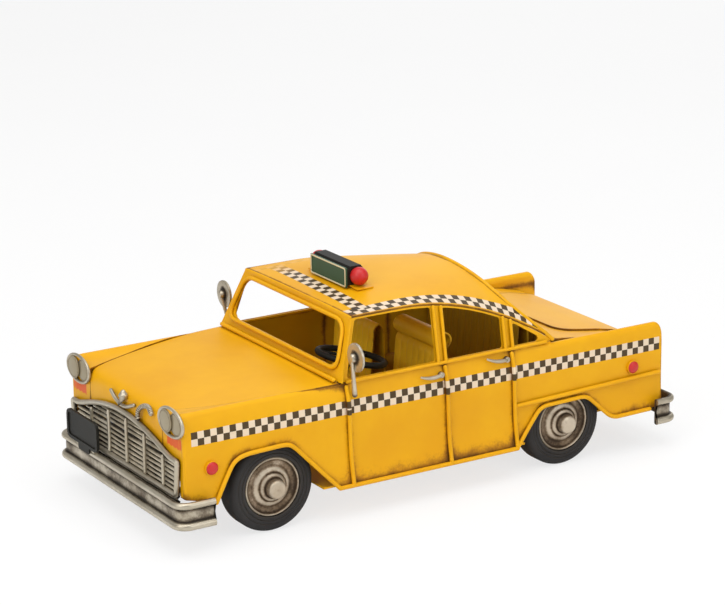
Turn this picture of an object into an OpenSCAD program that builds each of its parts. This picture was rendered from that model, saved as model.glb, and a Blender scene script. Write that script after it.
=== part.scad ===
// Tinplate toy taxi: bent sheet body with soldered wire trim and two rolling axles.
// Millimetres, +X to the front, +Y to the left, +Z up, tyres standing on Z = 0.

/* [Body sheet] */
// Thickness of the body sheet
sheet_t = 0.8; // [0.6:0.1:1.0]
// Half width of the body at the check band
body_half_w = 59.6; // [58.6:0.2:61]
// How far the belt line lies inside the sides
belt_draw = 2.6; // [1.8:0.2:3.2]
// Height of the lower edge of the sides
sill_z = 16.9; // [16:0.1:17.8]
// How far the sides flare out at the sill
sill_flare = 1.9; // [1:0.1:2.6]
// Height where the flare ends
flare_z = 30; // [26:0.5:34]
// Height where the sides start to lean in
lean_z = 59; // [57:0.5:61]
// Height of the belt line
belt_z = 68.3; // [67:0.1:69.5]
// Front face of the fenders
front_x = 139.5; // [138:0.1:140.5]
// Rear edge of the fins
tail_x = -140.8; // [-141.6:0.1:-140]
// Foot of the windshield
cowl_x = 52.7; // [51.5:0.1:53.5]
// Front door seam
front_seam_x = 49.1; // [47:0.1:50]
// Seam between the doors
mid_seam_x = -7.8; // [-10:0.1:-5]
// Rear door seam
rear_seam_x = -47.6; // [-49:0.1:-46]
// How much narrower than the body the hood is at the nose, on each side
hood_taper = 21; // [20:0.2:23]

/* [Roof and windows] */
// Height of the roof edge over the front doors
roof_edge_z = 99; // [97:0.5:101]
// Height of the roof crown
roof_crown_z = 103.2; // [102.6:0.2:104.4]
// Place of the crown along the car
roof_crown_x = -29.8; // [-34:1:-26]
// How far the roof edge lies inside the belt line
roof_draw = 5.4; // [4.6:0.2:6]
// Front edge of the roof
header_x = 42; // [41:0.2:43]
// Where the roof edge starts to fall to the rear
roof_fall_x = 14.2; // [10:0.2:18]
// Foot of the rear pillars
pillar_foot_x = -71.8; // [-72.4:0.2:-70]
// Rear rim of the roof on the centre line
rear_rim_x = -43.8; // [-48:0.2:-40]
// Frame strip below the side windows
window_rail = 1; // [0.8:0.1:1.6]
// Width of the soldered trim around the windows
trim_w = 2; // [1.4:0.1:2.4]
// Radius of the soldered body wire
wire_r = 1.1; // [0.9:0.05:1.3]

/* [Rear] */
// Height of the fins
fin_z = 67.4; // [66.4:0.1:68]
// Width of a fin
fin_w = 5; // [4.6:0.1:6]
// Deck showing between fin and lid
lid_margin = 14.6; // [12:0.2:18]
// Front edge of the trunk lid
lid_front_x = -88.8; // [-94:0.2:-84]

/* [Wheels] */
// Radius of the tyres
tyre_r = 22.85; // [22:0.05:23.5]
// Radius of the wheel discs under the tyres
rim_r = 15; // [13.5:0.1:16.5]
// Width of the tyres
tyre_w = 14; // [12:0.2:15]
// How far the tyres stand inside the body side
tyre_inset = 2.6; // [2.2:0.1:4]
// Front axle
front_axle_x = 90.5; // [89:0.1:92]
// Rear axle
rear_axle_x = -80.6; // [-82:0.1:-79]
// Radius of the axle rods
axle_r = 1.5; // [1.2:0.1:2]
// How far the hub ends stand out of the tyres
hub_out = 5.4; // [4:0.1:6]

/* [Bumpers and grille] */
// Front face of the front bumper
bumper_front_x = 146.8; // [146.2:0.1:147.4]
// Rear of the rear bumper
bumper_rear_x = -148.8; // [-149.5:0.1:-148.4]
// How far the bumper ends reach beyond the body sides
bumper_reach = 6.7; // [6.2:0.1:7.4]
// Outer corner radius of the bumpers
bumper_corner_r = 8; // [7:0.1:9]
// Height of the lower bumper bead
bead_low_z = 15.4; // [15:0.1:15.8]
// Height of the upper bumper bead
bead_high_z = 25.7; // [25.2:0.1:25.9]
// How far the grille ends stand inside the body sides
grille_margin = 3.6; // [3:0.2:4.6]
// Bottom of the grille
grille_low_z = 28; // [27.8:0.1:29]
// Height of the grille at its ends
grille_end_z = 45.4; // [44:0.1:46]
// Rise of the grille top in the middle
grille_rise = 9.2; // [8:0.1:10]
// Number of grille slats
slat_count = 9; // [7:1:10]

/* [Fittings] */
// Radius of the mirrors
mirror_r = 7.2; // [6.4:0.1:7.6]
// How far the mirrors stand out from the body side
mirror_reach = 5.9; // [5.4:0.1:7]
// Mirror height
mirror_z = 82.8; // [80:0.2:85]
// Half length of the roof sign
sign_half_l = 17; // [15:0.2:19]
// Depth of the sign housing
sign_d = 10.2; // [9:0.1:11]
// Height of the sign housing
sign_h = 9.6; // [9:0.1:10.4]
// Rear face of the sign housing
sign_x = 13; // [11:0.2:15]
// Radius of the roof lamps
lamp_r = 4.6; // [4:0.1:4.8]
// Radius of the steering wheel
steer_r = 17; // [15:0.5:18]

/* [Clearances] */
// Gap between soldered pieces
seam = 0.12; // [0.08:0.02:0.2]
// Radial clearance of the axles in their brackets
run_fit = 0.08; // [0.05:0.01:0.1]
// Radial clearance of pieces pressed together
press_fit = 0.03; // [0.02:0.01:0.05]

/* [Hidden] */
// Half widths and side places, all tied to the body width
belt_half_w = body_half_w - belt_draw;
hood_front_half_w = body_half_w - hood_taper;
roof_half_w = belt_half_w - roof_draw;
fin_in_y = body_half_w - fin_w;
lid_half_w = fin_in_y - lid_margin;
tyre_out_y = body_half_w - tyre_inset;
bumper_half_w = body_half_w + bumper_reach;
grille_half_w = body_half_w - grille_margin;
mirror_y = body_half_w + mirror_reach;

$fn = 48;

taxi_yellow = [0.93, 0.66, 0.09];
pewter = [0.56, 0.54, 0.50];
charcoal = [0.13, 0.13, 0.13];
lamp_red = [0.78, 0.10, 0.10];
far = 300;

// Two-dimensional helpers
function unit(v) = v / norm(v);
function left_of(v) = [-v.y, v.x];
function reversed(p) = [for (i = [len(p) - 1:-1:0]) p[i]];
function lifted(p, d) = [for (q = p) q + [0, d]];

// Every point of an open path moved sideways by d, to the left of travel
function shifted(p, d) = [
    for (i = [0:len(p) - 1])
        let (
            j = max(i, 1),
            k = min(i + 1, len(p) - 1),
            a = left_of(unit(p[j] - p[j - 1])),
            b = left_of(unit(p[k] - p[k - 1])),
            n = unit(a + b)
        )
        p[i] + n * d / (n * a)
];

// The same for a closed outline that runs anticlockwise: d > 0 moves inward
function inset(p, d) = [
    for (i = [0:len(p) - 1])
        let (
            a = left_of(unit(p[i] - p[(i + len(p) - 1) % len(p)])),
            b = left_of(unit(p[(i + 1) % len(p)] - p[i])),
            n = unit(a + b)
        )
        p[i] + n * d / (n * a)
];

// A closed outline with its corners rounded by arcs
function rounded(p, r, steps = 4) = [
    for (i = [0:len(p) - 1])
        let (
            a = unit(p[(i + len(p) - 1) % len(p)] - p[i]),
            b = unit(p[(i + 1) % len(p)] - p[i]),
            half = acos(a * b) / 2,
            centre = p[i] + unit(a + b) * r / sin(half),
            u = p[i] + a * r / tan(half) - centre,
            v = p[i] + b * r / tan(half) - centre,
            turn = 180 - 2 * half
        )
        for (k = [0:turn < 1 ? 0 : steps])
            turn < 1 ? p[i]
            : centre + (sin(turn * (1 - k / steps)) * u + sin(turn * k / steps) * v) / sin(turn)
];

// A bent sheet: its outer face follows the path, its thickness lies to the left
module sheet(p, t = sheet_t) {
    polygon(concat(p, reversed(shifted(p, t))));
}

// Draws a (Y, Z) shape from x0 to x1
module along_x(x0, x1) {
    translate([x0, 0, 0]) rotate([90, 0, 90]) linear_extrude(x1 - x0) children();
}

// Draws an (X, Z) shape from y0 to y1
module along_y(y0, y1) {
    translate([0, y1, 0]) rotate([90, 0, 0]) linear_extrude(y1 - y0) children();
}

module rod(a, b, r1, r2) {
    v = b - a;
    translate(a) rotate([0, acos(v.z / norm(v)), atan2(v.y, v.x)]) cylinder(h = norm(v), r1 = r1, r2 = r2);
}

module both_sides() {
    children();
    mirror([0, 1, 0]) children();
}

// A round wire along a path; up is any direction that no stretch of it follows
module wire(p, r, up, closed = false, sides = 8) {
    n = len(p);
    last = closed ? n - 1 : n - 2;
    points = [
        for (i = [0:n - 1])
            let (
                from = closed ? p[(i + n - 1) % n] : p[max(i, 1) - 1],
                here = closed ? p[i] : p[max(i, 1)],
                there = closed ? p[i] : p[min(i, n - 2)],
                to = closed ? p[(i + 1) % n] : p[min(i, n - 2) + 1],
                t = unit(unit(here - from) + unit(to - there)),
                b = unit(cross(t, up)),
                m = cross(b, t)
            )
            for (k = [0:sides - 1])
                p[i] + r * (cos(k * 360 / sides) * b + sin(k * 360 / sides) * m)
    ];
    walls = [
        for (i = [0:last], k = [0:sides - 1])
            let (j = (i + 1) % n, l = (k + 1) % sides)
            for (f = [[i * sides + k, i * sides + l, j * sides + l],
                      [i * sides + k, j * sides + l, j * sides + k]])
                f
    ];
    ends = closed ? [] : [
        [for (k = [sides - 1:-1:0]) k],
        [for (k = [0:sides - 1]) (n - 1) * sides + k]
    ];
    polyhedron(points, concat(walls, ends));
}

// Body lines
function side_y(z) =
    z < flare_z ? body_half_w + sill_flare * (flare_z - z) / (flare_z - sill_z)
    : z < lean_z ? body_half_w
    : body_half_w - (body_half_w - belt_half_w) * (z - lean_z) / (belt_z - lean_z);

side_path = [
    [side_y(sill_z), sill_z], [body_half_w, flare_z], [body_half_w, lean_z], [belt_half_w, belt_z]
];
fender_path = concat(
    [for (i = [0:2]) side_path[i]],
    [
        [belt_half_w + 0.3, belt_z - 0.9], [belt_half_w - 1.2, belt_z + 0.2],
        [belt_half_w - 3, belt_z - 0.2], [belt_half_w - 9, belt_z - 2],
        [belt_half_w - 16, belt_z - 2.5], [hood_front_half_w - 3, belt_z - 2.7]
    ]
);
fin_foot_z = 50;
fin_path = concat(
    [for (i = [0:2]) side_path[i]],
    [
        [body_half_w - 0.4, fin_z - 2.2], [body_half_w - 1.2, fin_z - 0.6], [body_half_w - 2.2, fin_z],
        [fin_in_y + 1.2, fin_z - 0.4], [fin_in_y, fin_z - 1.8], [fin_in_y, fin_foot_z]
    ]
);

// The door seams lean a little to the front
seam_slant = 1.4;
function seam_x(x, z) = x + seam_slant * (z - (sill_z + belt_z) / 2) / (belt_z - sill_z);

// Wheel arches, from front to rear, set out from the axles
front_arch = [
    for (q = [[33.3, 23.4], [23.1, 41.7], [17.1, 44], [-5.9, 44.7], [-9.7, 42.8], [-34.2, 15.7]])
        q + [front_axle_x, 0]
];
rear_arch = [
    for (q = [[32.7, 16.1], [16.8, 35.8], [-11.6, 36.3], [-27.2, 21.7], [-48, 22]])
        q + [rear_axle_x, 0]
];

// Lower edge of the sides at both ends, and the bumper beads outside it
front_low_z = 27.2;
rear_low_z = rear_arch[4].y;
bead_high_r = 1.7;
bead_low_r = 1.9;
front_wrap = 20.5;
rear_wrap = 14.5;

// Line between hood and fenders, seen from above
groove_steps = 12;
groove_rear_y = belt_half_w + 0.4;
function groove_y(x) =
    groove_rear_y - (groove_rear_y - hood_front_half_w) * pow((x - cowl_x) / (front_x - cowl_x), 2);
groove = [
    for (i = [0:groove_steps])
        let (x = cowl_x + (front_x + 1 - cowl_x) * i / groove_steps)
        [x, groove_y(x)]
];

// Top edge of the grille: a moustache that rises in the middle
grille_shoulder = 6;
grille_steps = 24;
function grille_top(y) =
    grille_end_z + grille_rise * pow(max(0, 1 - pow(y / (grille_half_w - grille_shoulder), 2)), 1.2);
mouth_margin = 1.5;
module grille_mouth() {
    reach = grille_half_w - mouth_margin;
    along_x(front_x - 3, front_x + 1)
        polygon(concat(
            [[-reach, sill_z], [reach, sill_z]],
            [for (i = [0:grille_steps]) let (y = reach * (1 - 2 * i / grille_steps)) [y, grille_top(y) - 0.5]]
        ));
}

// Front body form, shrunk by o on every side but the open bottom and middle
front_corner_r = 1.2;
module front_form(o) {
    path = shifted(fender_path, o);
    low = o > 0 ? sill_z - 6 : sill_z;
    inner = path[len(path) - 1].x - (o > 0 ? 4 : 0);
    corner = front_corner_r - o;
    nose = front_x - o;
    side = body_half_w - o;
    intersection() {
        along_x(front_seam_x - 6, nose)
            polygon(concat(
                [[path[0].x, low]], path,
                [[inner, path[len(path) - 1].y], [inner, low]]
            ));
        linear_extrude(far) {
            translate([front_seam_x - 9, 0]) square([nose - corner - front_seam_x + 9, side + 6]);
            translate([nose - corner - 1, 0]) square([corner + 1, side - corner]);
            translate([nose - corner, side - corner]) circle(corner);
        }
    }
}

module front_fender() {
    gap = seam / 2;
    outline = concat(
        [
            [seam_x(front_seam_x, far) + gap, far], [front_x + 5, far], [front_x + 5, front_low_z + 1.2]
        ],
        front_arch,
        [[seam_x(front_seam_x, 0) + gap, front_arch[5].y], [seam_x(front_seam_x, 0) + gap, 0]]
    );
    color(taxi_yellow) difference() {
        intersection() {
            difference() {
                front_form(0);
                front_form(sheet_t);
            }
            along_y(0, far) polygon(outline);
            linear_extrude(far)
                polygon(concat(
                    [[front_seam_x - 9, far], [front_x + 9, far], [front_x + 9, hood_front_half_w + gap]],
                    reversed(lifted(groove, gap)),
                    [[front_seam_x - 9, groove_rear_y + gap]]
                ));
        }
        grille_mouth();
    }
}

module door(front, rear) {
    gap = seam / 2;
    color(taxi_yellow) intersection() {
        along_x(rear - 9, front + 9) sheet(side_path);
        along_y(0, far) polygon([
            [seam_x(rear, 0) + gap, 0], [seam_x(front, 0) - gap, 0],
            [seam_x(front, far) - gap, far], [seam_x(rear, far) + gap, far]
        ]);
    }
}

// Rear fin form, shrunk by o on every side but the open bottom
fin_corner_r = 4;
module fin_form(o) {
    path = shifted(fin_path, o);
    low = o > 0 ? sill_z - 6 : sill_z;
    inner = fin_in_y - (o > 0 ? 3 : 0);
    foot = path[len(path) - 1].y;
    tail = tail_x + o;
    intersection() {
        along_x(tail, pillar_foot_x + o)
            polygon(concat([[path[0].x, low]], path, [[inner, foot], [inner, low]]));
        along_y(0, far)
            polygon(concat(
                [[tail, 0]],
                [
                    for (a = [0:15:90])
                        [tail_x + fin_corner_r, fin_z - fin_corner_r] + (fin_corner_r - o) * [-cos(a), sin(a)]
                ],
                [[tail_x + fin_corner_r, far], [far, far], [far, 0]]
            ));
    }
}

module rear_quarter() {
    gap = seam / 2;
    outline = concat(
        [[seam_x(rear_seam_x, 0) - gap, 0], [seam_x(rear_seam_x, 0) - gap, rear_arch[0].y]],
        rear_arch,
        [
            [tail_x - 5, rear_low_z], [tail_x - 5, far], [seam_x(rear_seam_x, far) - gap, far]
        ]
    );
    color(taxi_yellow) intersection() {
        union() {
            difference() {
                fin_form(0);
                fin_form(sheet_t);
            }
            along_x(pillar_foot_x, rear_seam_x + 9) sheet(side_path);
        }
        along_y(0, far) polygon(outline);
    }
}

module left_front_fender() { front_fender(); }
module right_front_fender() { mirror([0, 1, 0]) front_fender(); }
module left_front_door() { door(front_seam_x, mid_seam_x); }
module right_front_door() { mirror([0, 1, 0]) door(front_seam_x, mid_seam_x); }
module left_rear_door() { door(mid_seam_x, rear_seam_x); }
module right_rear_door() { mirror([0, 1, 0]) door(mid_seam_x, rear_seam_x); }
module left_rear_quarter() { rear_quarter(); }
module right_rear_quarter() { mirror([0, 1, 0]) rear_quarter(); }

// Hood: flat behind, rolled over the nose down to the grille
nose_path = [
    [front_x, grille_end_z - 4], [front_x, belt_z - 10.3], [front_x - 0.5, belt_z - 6.6],
    [front_x - 2.3, belt_z - 4], [front_x - 5.5, belt_z - 3], [front_x - 12, belt_z - 2.5],
    [front_x - 28, belt_z - 1.9], [front_x - 45, belt_z - 1.1], [front_x - 65, belt_z - 0.2],
    [cowl_x + 0.4, belt_z + 0.2]
];
function nose_x(z) = lookup(z, [for (i = [0:5]) [nose_path[i].y, nose_path[i].x]]);

module hood() {
    gap = seam / 2;
    edge = lifted(groove, -gap);
    color(taxi_yellow) difference() {
        intersection() {
            along_y(-body_half_w, body_half_w) sheet(nose_path);
            linear_extrude(far)
                polygon(concat(edge, reversed([for (q = edge) [q.x, -q.y]])));
        }
        grille_mouth();
    }
}

// Leaning plane of the windshield
shield_z = belt_z + 0.7;
shield_rise = roof_edge_z - sheet_t - seam - shield_z;
shield_lean = atan((cowl_x - header_x) / shield_rise);
shield_h = shield_rise / cos(shield_lean) - sheet_t * tan(shield_lean);
shield_foot_half_w = belt_half_w + 3.2;
shield_head_half_w = roof_half_w + 0.6;
shield_post = 5.6;
shield_sill = 5.8;
shield_head = 3.4;
function shield_half(h) = shield_foot_half_w + (shield_head_half_w - shield_foot_half_w) * h / shield_h;
shield_opening = [
    [-shield_half(shield_sill) + shield_post, shield_sill],
    [shield_half(shield_sill) - shield_post, shield_sill],
    [shield_half(shield_h) - shield_post + 1, shield_h - shield_head],
    [-shield_half(shield_h) + shield_post - 1, shield_h - shield_head]
];
shield_corner_r = 6.5;
module on_windshield(depth) {
    translate([cowl_x, 0, shield_z]) rotate([0, -shield_lean, 0]) rotate([90, 0, 90])
        translate([0, 0, depth]) children();
}

module windshield_frame() {
    color(taxi_yellow) on_windshield(0) linear_extrude(sheet_t) difference() {
        polygon([
            [-shield_foot_half_w, 0], [shield_foot_half_w, 0],
            [shield_head_half_w, shield_h], [-shield_head_half_w, shield_h]
        ]);
        polygon(rounded(shield_opening, shield_corner_r));
    }
}

module windshield_trim() {
    foot = [cowl_x + sheet_t + wire_r + 0.6, belt_half_w - 1, shield_z + wire_r];
    color(taxi_yellow) {
        on_windshield(sheet_t + seam / 2) linear_extrude(trim_w * 0.8) difference() {
            polygon(rounded(inset(shield_opening, -trim_w), shield_corner_r + trim_w));
            polygon(rounded(shield_opening, shield_corner_r));
        }
        rod(foot, [foot.x, -foot.y, foot.z], wire_r, wire_r);
    }
}

// Roof edge, seen from the side, and the leaning plane of the side windows below it
frame_z = belt_z + 0.2;
roof_foot_z = belt_z + 1.9;
function roof_edge(x) =
    x > roof_fall_x ? roof_edge_z
    : roof_edge_z - (roof_edge_z - roof_foot_z) * pow((roof_fall_x - x) / (roof_fall_x - pillar_foot_x), 2);
side_lean = atan((belt_half_w - roof_half_w) / (roof_edge_z - belt_z));
function roof_edge_y(x) = belt_half_w - (roof_edge(x) - belt_z) * tan(side_lean);
crown_fall = 0.0007;
roof_flatness = 1.6;
function roof_power(x) =
    2 + roof_flatness * max(0, min(1, (x - rear_rim_x) / (roof_fall_x - rear_rim_x)));
function roof_z(x, y) =
    let (
        v = abs(y) / roof_edge_y(x),
        crown = roof_crown_z - crown_fall * pow(x - roof_crown_x, 2)
    )
    roof_edge(x) + (crown - roof_edge(x)) * (1 - pow(v, roof_power(x)));

// Side windows as (X, Z) outlines, anticlockwise
window_low_z = frame_z + window_rail;
head_rail = 0.8;
head_drop = sheet_t + seam + head_rail;
function window_top(x) = roof_edge(x) - head_drop;
function shield_x(z) = cowl_x - (z - shield_z) * tan(shield_lean);
head_steps = 4;
function head_line(x0, x1) = [
    for (i = [0:head_steps]) let (x = x0 + (x1 - x0) * i / head_steps) [x, window_top(x)]
];
front_post_low = 4;
front_post_high = 1.6;
post_half_w = 3.2;
mid_post_x = mid_seam_x + 1.8;
rear_post_x = rear_seam_x + 1.65;
window_corner_r = 1.6;
tip_clear = 2;
quarter_tip_x =
    roof_fall_x - (roof_fall_x - pillar_foot_x)
    * sqrt((roof_edge_z - window_low_z - head_drop) / (roof_edge_z - roof_foot_z));
windows = [
    concat(
        [[mid_post_x + post_half_w, window_low_z], [shield_x(window_low_z) - front_post_low, window_low_z]],
        head_line(shield_x(window_top(header_x)) - front_post_high, mid_post_x + post_half_w)
    ),
    concat(
        [[rear_post_x + post_half_w, window_low_z], [mid_post_x - post_half_w, window_low_z]],
        head_line(mid_post_x - post_half_w, rear_post_x + post_half_w)
    ),
    [
        [quarter_tip_x + tip_clear, window_low_z], [rear_post_x - post_half_w, window_low_z],
        [rear_post_x - post_half_w, window_top(rear_post_x - post_half_w)]
    ]
];
function upright(p) = [for (q = p) [q.x, (q.y - frame_z) / cos(side_lean)]];
module on_side(depth) {
    translate([0, belt_half_w, frame_z]) rotate([side_lean, 0, 0]) rotate([90, 0, 0])
        translate([0, 0, depth]) children();
}

module window_frame() {
    edge_steps = 20;
    head_z = roof_edge_z - sheet_t - seam;
    head_front_x = shield_x(head_z) - seam;
    outline = concat(
        [[pillar_foot_x, frame_z], [shield_x(frame_z) - seam, frame_z], [head_front_x, head_z]],
        [
            for (i = [1:edge_steps])
                let (x = head_front_x + (pillar_foot_x - head_front_x) * i / edge_steps)
                [x, roof_edge(x) - sheet_t - seam]
        ]
    );
    color(taxi_yellow) on_side(0) linear_extrude(sheet_t) difference() {
        polygon(upright(outline));
        for (w = windows) polygon(rounded(upright(w), window_corner_r));
    }
}

module left_window_frame() { window_frame(); }
module right_window_frame() { mirror([0, 1, 0]) window_frame(); }

// Straight wires soldered outside the window frames: one along the belt, two on every post
window_wire_r = 0.9;
function beside_frame(x, z) = [
    x, belt_half_w - (z - frame_z) * tan(side_lean) + (window_wire_r + seam) / cos(side_lean), z
];
module window_trim() {
    edge = post_half_w - window_wire_r - 0.1;
    rail_z = window_low_z - window_wire_r;
    foot = [quarter_tip_x + tip_clear, rail_z];
    runs = concat(
        [[beside_frame(shield_x(frame_z) - front_post_low, rail_z), beside_frame(foot.x, foot.y)]],
        [
            for (x = [mid_post_x, rear_post_x], s = [-1, 1])
                [
                    beside_frame(x + s * edge, rail_z),
                    beside_frame(x + s * edge, window_top(x + s * edge) + head_rail / 2)
                ]
        ]
    );
    color(taxi_yellow) both_sides() union() {
        for (p = runs) wire(p, window_wire_r, [0, 1, 0]);
    }
}

// Roof sheet: rows run from the header to the rear rim, which falls into the pillars
rim_bow = 12;
rim_turn = 12;
function rim_x(v) =
    rear_rim_x - rim_bow * v * v - (rear_rim_x - rim_bow - pillar_foot_x) * pow(abs(v), rim_turn);
roof_rows = 26;
roof_steps = 16;
roof_lap = 0.4;
function roof_point(s, v) =
    let (x = header_x + s * (rim_x(v) - header_x), y = v * roof_edge_y(x))
    [x, y + sign(v) * roof_lap * pow(abs(v), 4), roof_z(x, y)];

module roof() {
    stride = roof_steps + 1;
    count = (roof_rows + 1) * stride;
    top = [
        for (i = [0:roof_rows], j = [0:roof_steps])
            roof_point(j / roof_steps, sin(90 * (2 * i / roof_rows - 1)))
    ];
    under = [for (q = top) q - [0, 0, sheet_t]];
    skin = [
        for (i = [0:roof_rows - 1], j = [0:roof_steps - 1])
            let (a = i * stride + j, b = a + 1, c = a + stride, d = c + 1)
            for (f = [[a, b, d], [a, d, c]]) f
    ];
    loop = concat(
        [for (j = [0:roof_steps]) j],
        [for (i = [1:roof_rows]) i * stride + roof_steps],
        [for (j = [roof_steps - 1:-1:0]) roof_rows * stride + j],
        [for (i = [roof_rows - 1:-1:1]) i * stride]
    );
    edge = [
        for (k = [0:len(loop) - 1])
            let (a = loop[k], b = loop[(k + 1) % len(loop)])
            for (f = [[b, a, a + count], [b, a + count, b + count]]) f
    ];
    color(taxi_yellow)
        polyhedron(
            concat(top, under),
            concat(skin, [for (f = skin) [f[2] + count, f[1] + count, f[0] + count]], edge)
        );
}

// The rim wire lies beside the edge of the sheet, in its plane
rim_rows = 32;
function rim_point(k) = roof_point(1, sin(90 * (2 * k / rim_rows - 1)));
function roof_normal(q) =
    let (y = max(-roof_edge_y(q.x), min(roof_edge_y(q.x), q.y)))
    unit([
        roof_z(q.x - 0.5, y) - roof_z(q.x + 0.5, y),
        roof_z(q.x, y - 0.5) - roof_z(q.x, y + 0.5),
        1
    ]);

module roof_rim_wire() {
    color(taxi_yellow)
        wire(
            [
                for (k = [0:rim_rows])
                    let (
                        q = rim_point(k),
                        n = roof_normal(q),
                        along = unit(rim_point(min(k + 1, rim_rows)) - rim_point(max(k - 1, 0)))
                    )
                    q + unit(cross(n, along)) * (wire_r + 2 * seam) - n * sheet_t / 2
            ],
            wire_r, [1, 0, 0]
        );
}

// Rear deck between the fins, from the rear window down to the tail
deck_path = [
    [pillar_foot_x - 1, belt_z + 0.1], [tail_x + 55.4, belt_z - 1.5], [tail_x + 36.4, belt_z - 4.7],
    [tail_x + 25.4, belt_z - 6.3], [tail_x + 11.9, belt_z - 9.3], [tail_x + 5.9, belt_z - 12.7],
    [tail_x + sheet_t + 0.1, belt_z - 16.5]
];
deck_half_w = fin_in_y - seam;
lid_corner_r = 8;

module rear_deck() {
    color(taxi_yellow) along_y(-deck_half_w, deck_half_w) sheet(deck_path);
}

module trunk_lid() {
    lid_rear_x = tail_x + 3;
    color(taxi_yellow) intersection() {
        along_y(-lid_half_w, lid_half_w) sheet(shifted(deck_path, -sheet_t - seam));
        linear_extrude(far)
            polygon(rounded(
                [
                    [lid_rear_x, -lid_half_w], [lid_front_x, -lid_half_w],
                    [lid_front_x, lid_half_w], [lid_rear_x, lid_half_w]
                ],
                lid_corner_r
            ));
    }
}

module tail_panel() {
    high = deck_path[6].y - sheet_t - seam;
    color(taxi_yellow)
        translate([tail_x, -deck_half_w, rear_low_z])
            cube([sheet_t, 2 * deck_half_w, high - rear_low_z]);
}

// Wire soldered on the sides: door seams, sill, wheel arches and the rear rail
rail_low_z = 38.8;
rail_high_z = 40.9;
rear_wire_end_x = bumper_rear_x + rear_wrap + 2.5;
function on_body(x, z) = [x, side_y(z) + wire_r + seam, z];

module trim_wires() {
    heights = [sill_z, flare_z, lean_z, belt_z - 2];
    runs = concat(
        [for (x = [front_seam_x, mid_seam_x, rear_seam_x]) [for (z = heights) on_body(seam_x(x, z), z)]],
        [
            [on_body(front_arch[5].x, sill_z), on_body(rear_arch[0].x, sill_z)],
            [for (q = front_arch) on_body(q.x, max(q.y, sill_z))],
            concat(
                [for (q = rear_arch) on_body(q.x, max(q.y, sill_z))],
                [on_body(rear_wire_end_x, rear_low_z)]
            ),
            [on_body(rear_seam_x - 2, rail_low_z), on_body(tail_x + 2.4, rail_high_z)]
        ]
    );
    color(taxi_yellow) union() {
        for (p = runs) wire(p, wire_r, [0, 1, 0]);
    }
}
module left_trim_wires() { trim_wires(); }
module right_trim_wires() { mirror([0, 1, 0]) trim_wires(); }

// Floor pan: a wide part between the wheels and a narrow tongue to both ends
floor_t = 1;
floor_low_z = sill_z + 0.2;
floor_top_z = floor_low_z + floor_t;
floor_half_w = side_y(floor_top_z) - sheet_t - 0.4;
wheel_room = 3.5;
tongue_half_w = tyre_out_y - tyre_w - wheel_room;
wide_rear_x = rear_axle_x + tyre_r + wheel_room;
wide_front_x = front_axle_x - tyre_r - wheel_room;
tongue_rear_x = tail_x + sheet_t + 0.3;
tongue_front_x = front_axle_x + tyre_r + wheel_room;

module floor_pan() {
    color(taxi_yellow) translate([0, 0, floor_low_z]) linear_extrude(floor_t) {
        translate([tongue_rear_x, -tongue_half_w])
            square([tongue_front_x - tongue_rear_x, 2 * tongue_half_w]);
        translate([wide_rear_x, -floor_half_w]) square([wide_front_x - wide_rear_x, 2 * floor_half_w]);
    }
}

// Folded channel on the floor, with a bored ear on each side
ear_y = tongue_half_w - 7;
ear_t = 1.2;
ear_half_l = 5;
module axle_bracket(x) {
    low = floor_top_z + seam;
    high = tyre_r + axle_r + 3;
    color(pewter) translate([x, 0, 0]) difference() {
        union() {
            translate([-ear_half_l, -ear_y, low]) cube([2 * ear_half_l, 2 * ear_y, ear_t]);
            both_sides()
                translate([-ear_half_l, ear_y - ear_t, low]) cube([2 * ear_half_l, ear_t, high - low]);
        }
        translate([0, far / 2, tyre_r]) rotate([90, 0, 0]) cylinder(h = far, r = axle_r + run_fit);
    }
}
module front_axle_bracket() { axle_bracket(front_axle_x); }
module rear_axle_bracket() { axle_bracket(rear_axle_x); }

// Axle rods, wheels and tyres, turned about Y
tyre_in_y = tyre_out_y - tyre_w;
axle_end_y = tyre_out_y + 0.6;
module axle(x) {
    color(pewter) translate([x, axle_end_y, tyre_r]) rotate([90, 0, 0])
        cylinder(h = 2 * axle_end_y, r = axle_r);
}
module turned(x) {
    translate([x, 0, tyre_r]) rotate([-90, 0, 0]) rotate_extrude() children();
}
module wheel(x) {
    bore = axle_r + press_fit;
    rim = rim_r - press_fit;
    lip = tyre_out_y - 0.4;
    floor_y = tyre_out_y - 2.6;
    hub = tyre_out_y + hub_out;
    color(pewter) turned(x)
        polygon([
            [bore, tyre_in_y + 2], [5, tyre_in_y + 2], [5.6, floor_y - 2.2], [rim - 2.4, floor_y - 2.2],
            [rim - 1.2, tyre_in_y + 1], [rim, tyre_in_y + 1], [rim, lip - 0.4], [rim - 0.5, lip],
            [rim - 1, lip],
            [rim - 1.6, floor_y + 0.3], [rim - 2.6, floor_y], [rim - 3.4, floor_y + 1],
            [rim - 4.6, floor_y + 1.3], [rim - 5.6, floor_y + 0.4], [rim - 6.4, floor_y + 0.4],
            [rim - 7, floor_y + 1.8],
            [5.6, floor_y + 3], [4.9, floor_y + 4], [4.7, hub - 0.6], [4.1, hub], [0, hub],
            [0, axle_end_y + 0.1], [bore, axle_end_y + 0.1]
        ]);
}
module tyre(x) {
    shoulder = 3.4;
    color(charcoal) turned(x) {
        difference() {
            union() {
                translate([rim_r, tyre_in_y]) square([tyre_r - rim_r - shoulder, tyre_w]);
                translate([rim_r, tyre_in_y + shoulder]) square([tyre_r - rim_r, tyre_w - 2 * shoulder]);
                for (y = [tyre_in_y + shoulder, tyre_out_y - shoulder])
                    translate([tyre_r - shoulder, y]) circle(shoulder);
            }
            translate([rim_r + 2.2, tyre_out_y + 0.7]) circle(1.1);
        }
    }
}
module front_axle() { axle(front_axle_x); }
module rear_axle() { axle(rear_axle_x); }
module left_front_wheel() { wheel(front_axle_x); }
module right_front_wheel() { mirror([0, 1, 0]) wheel(front_axle_x); }
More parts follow.
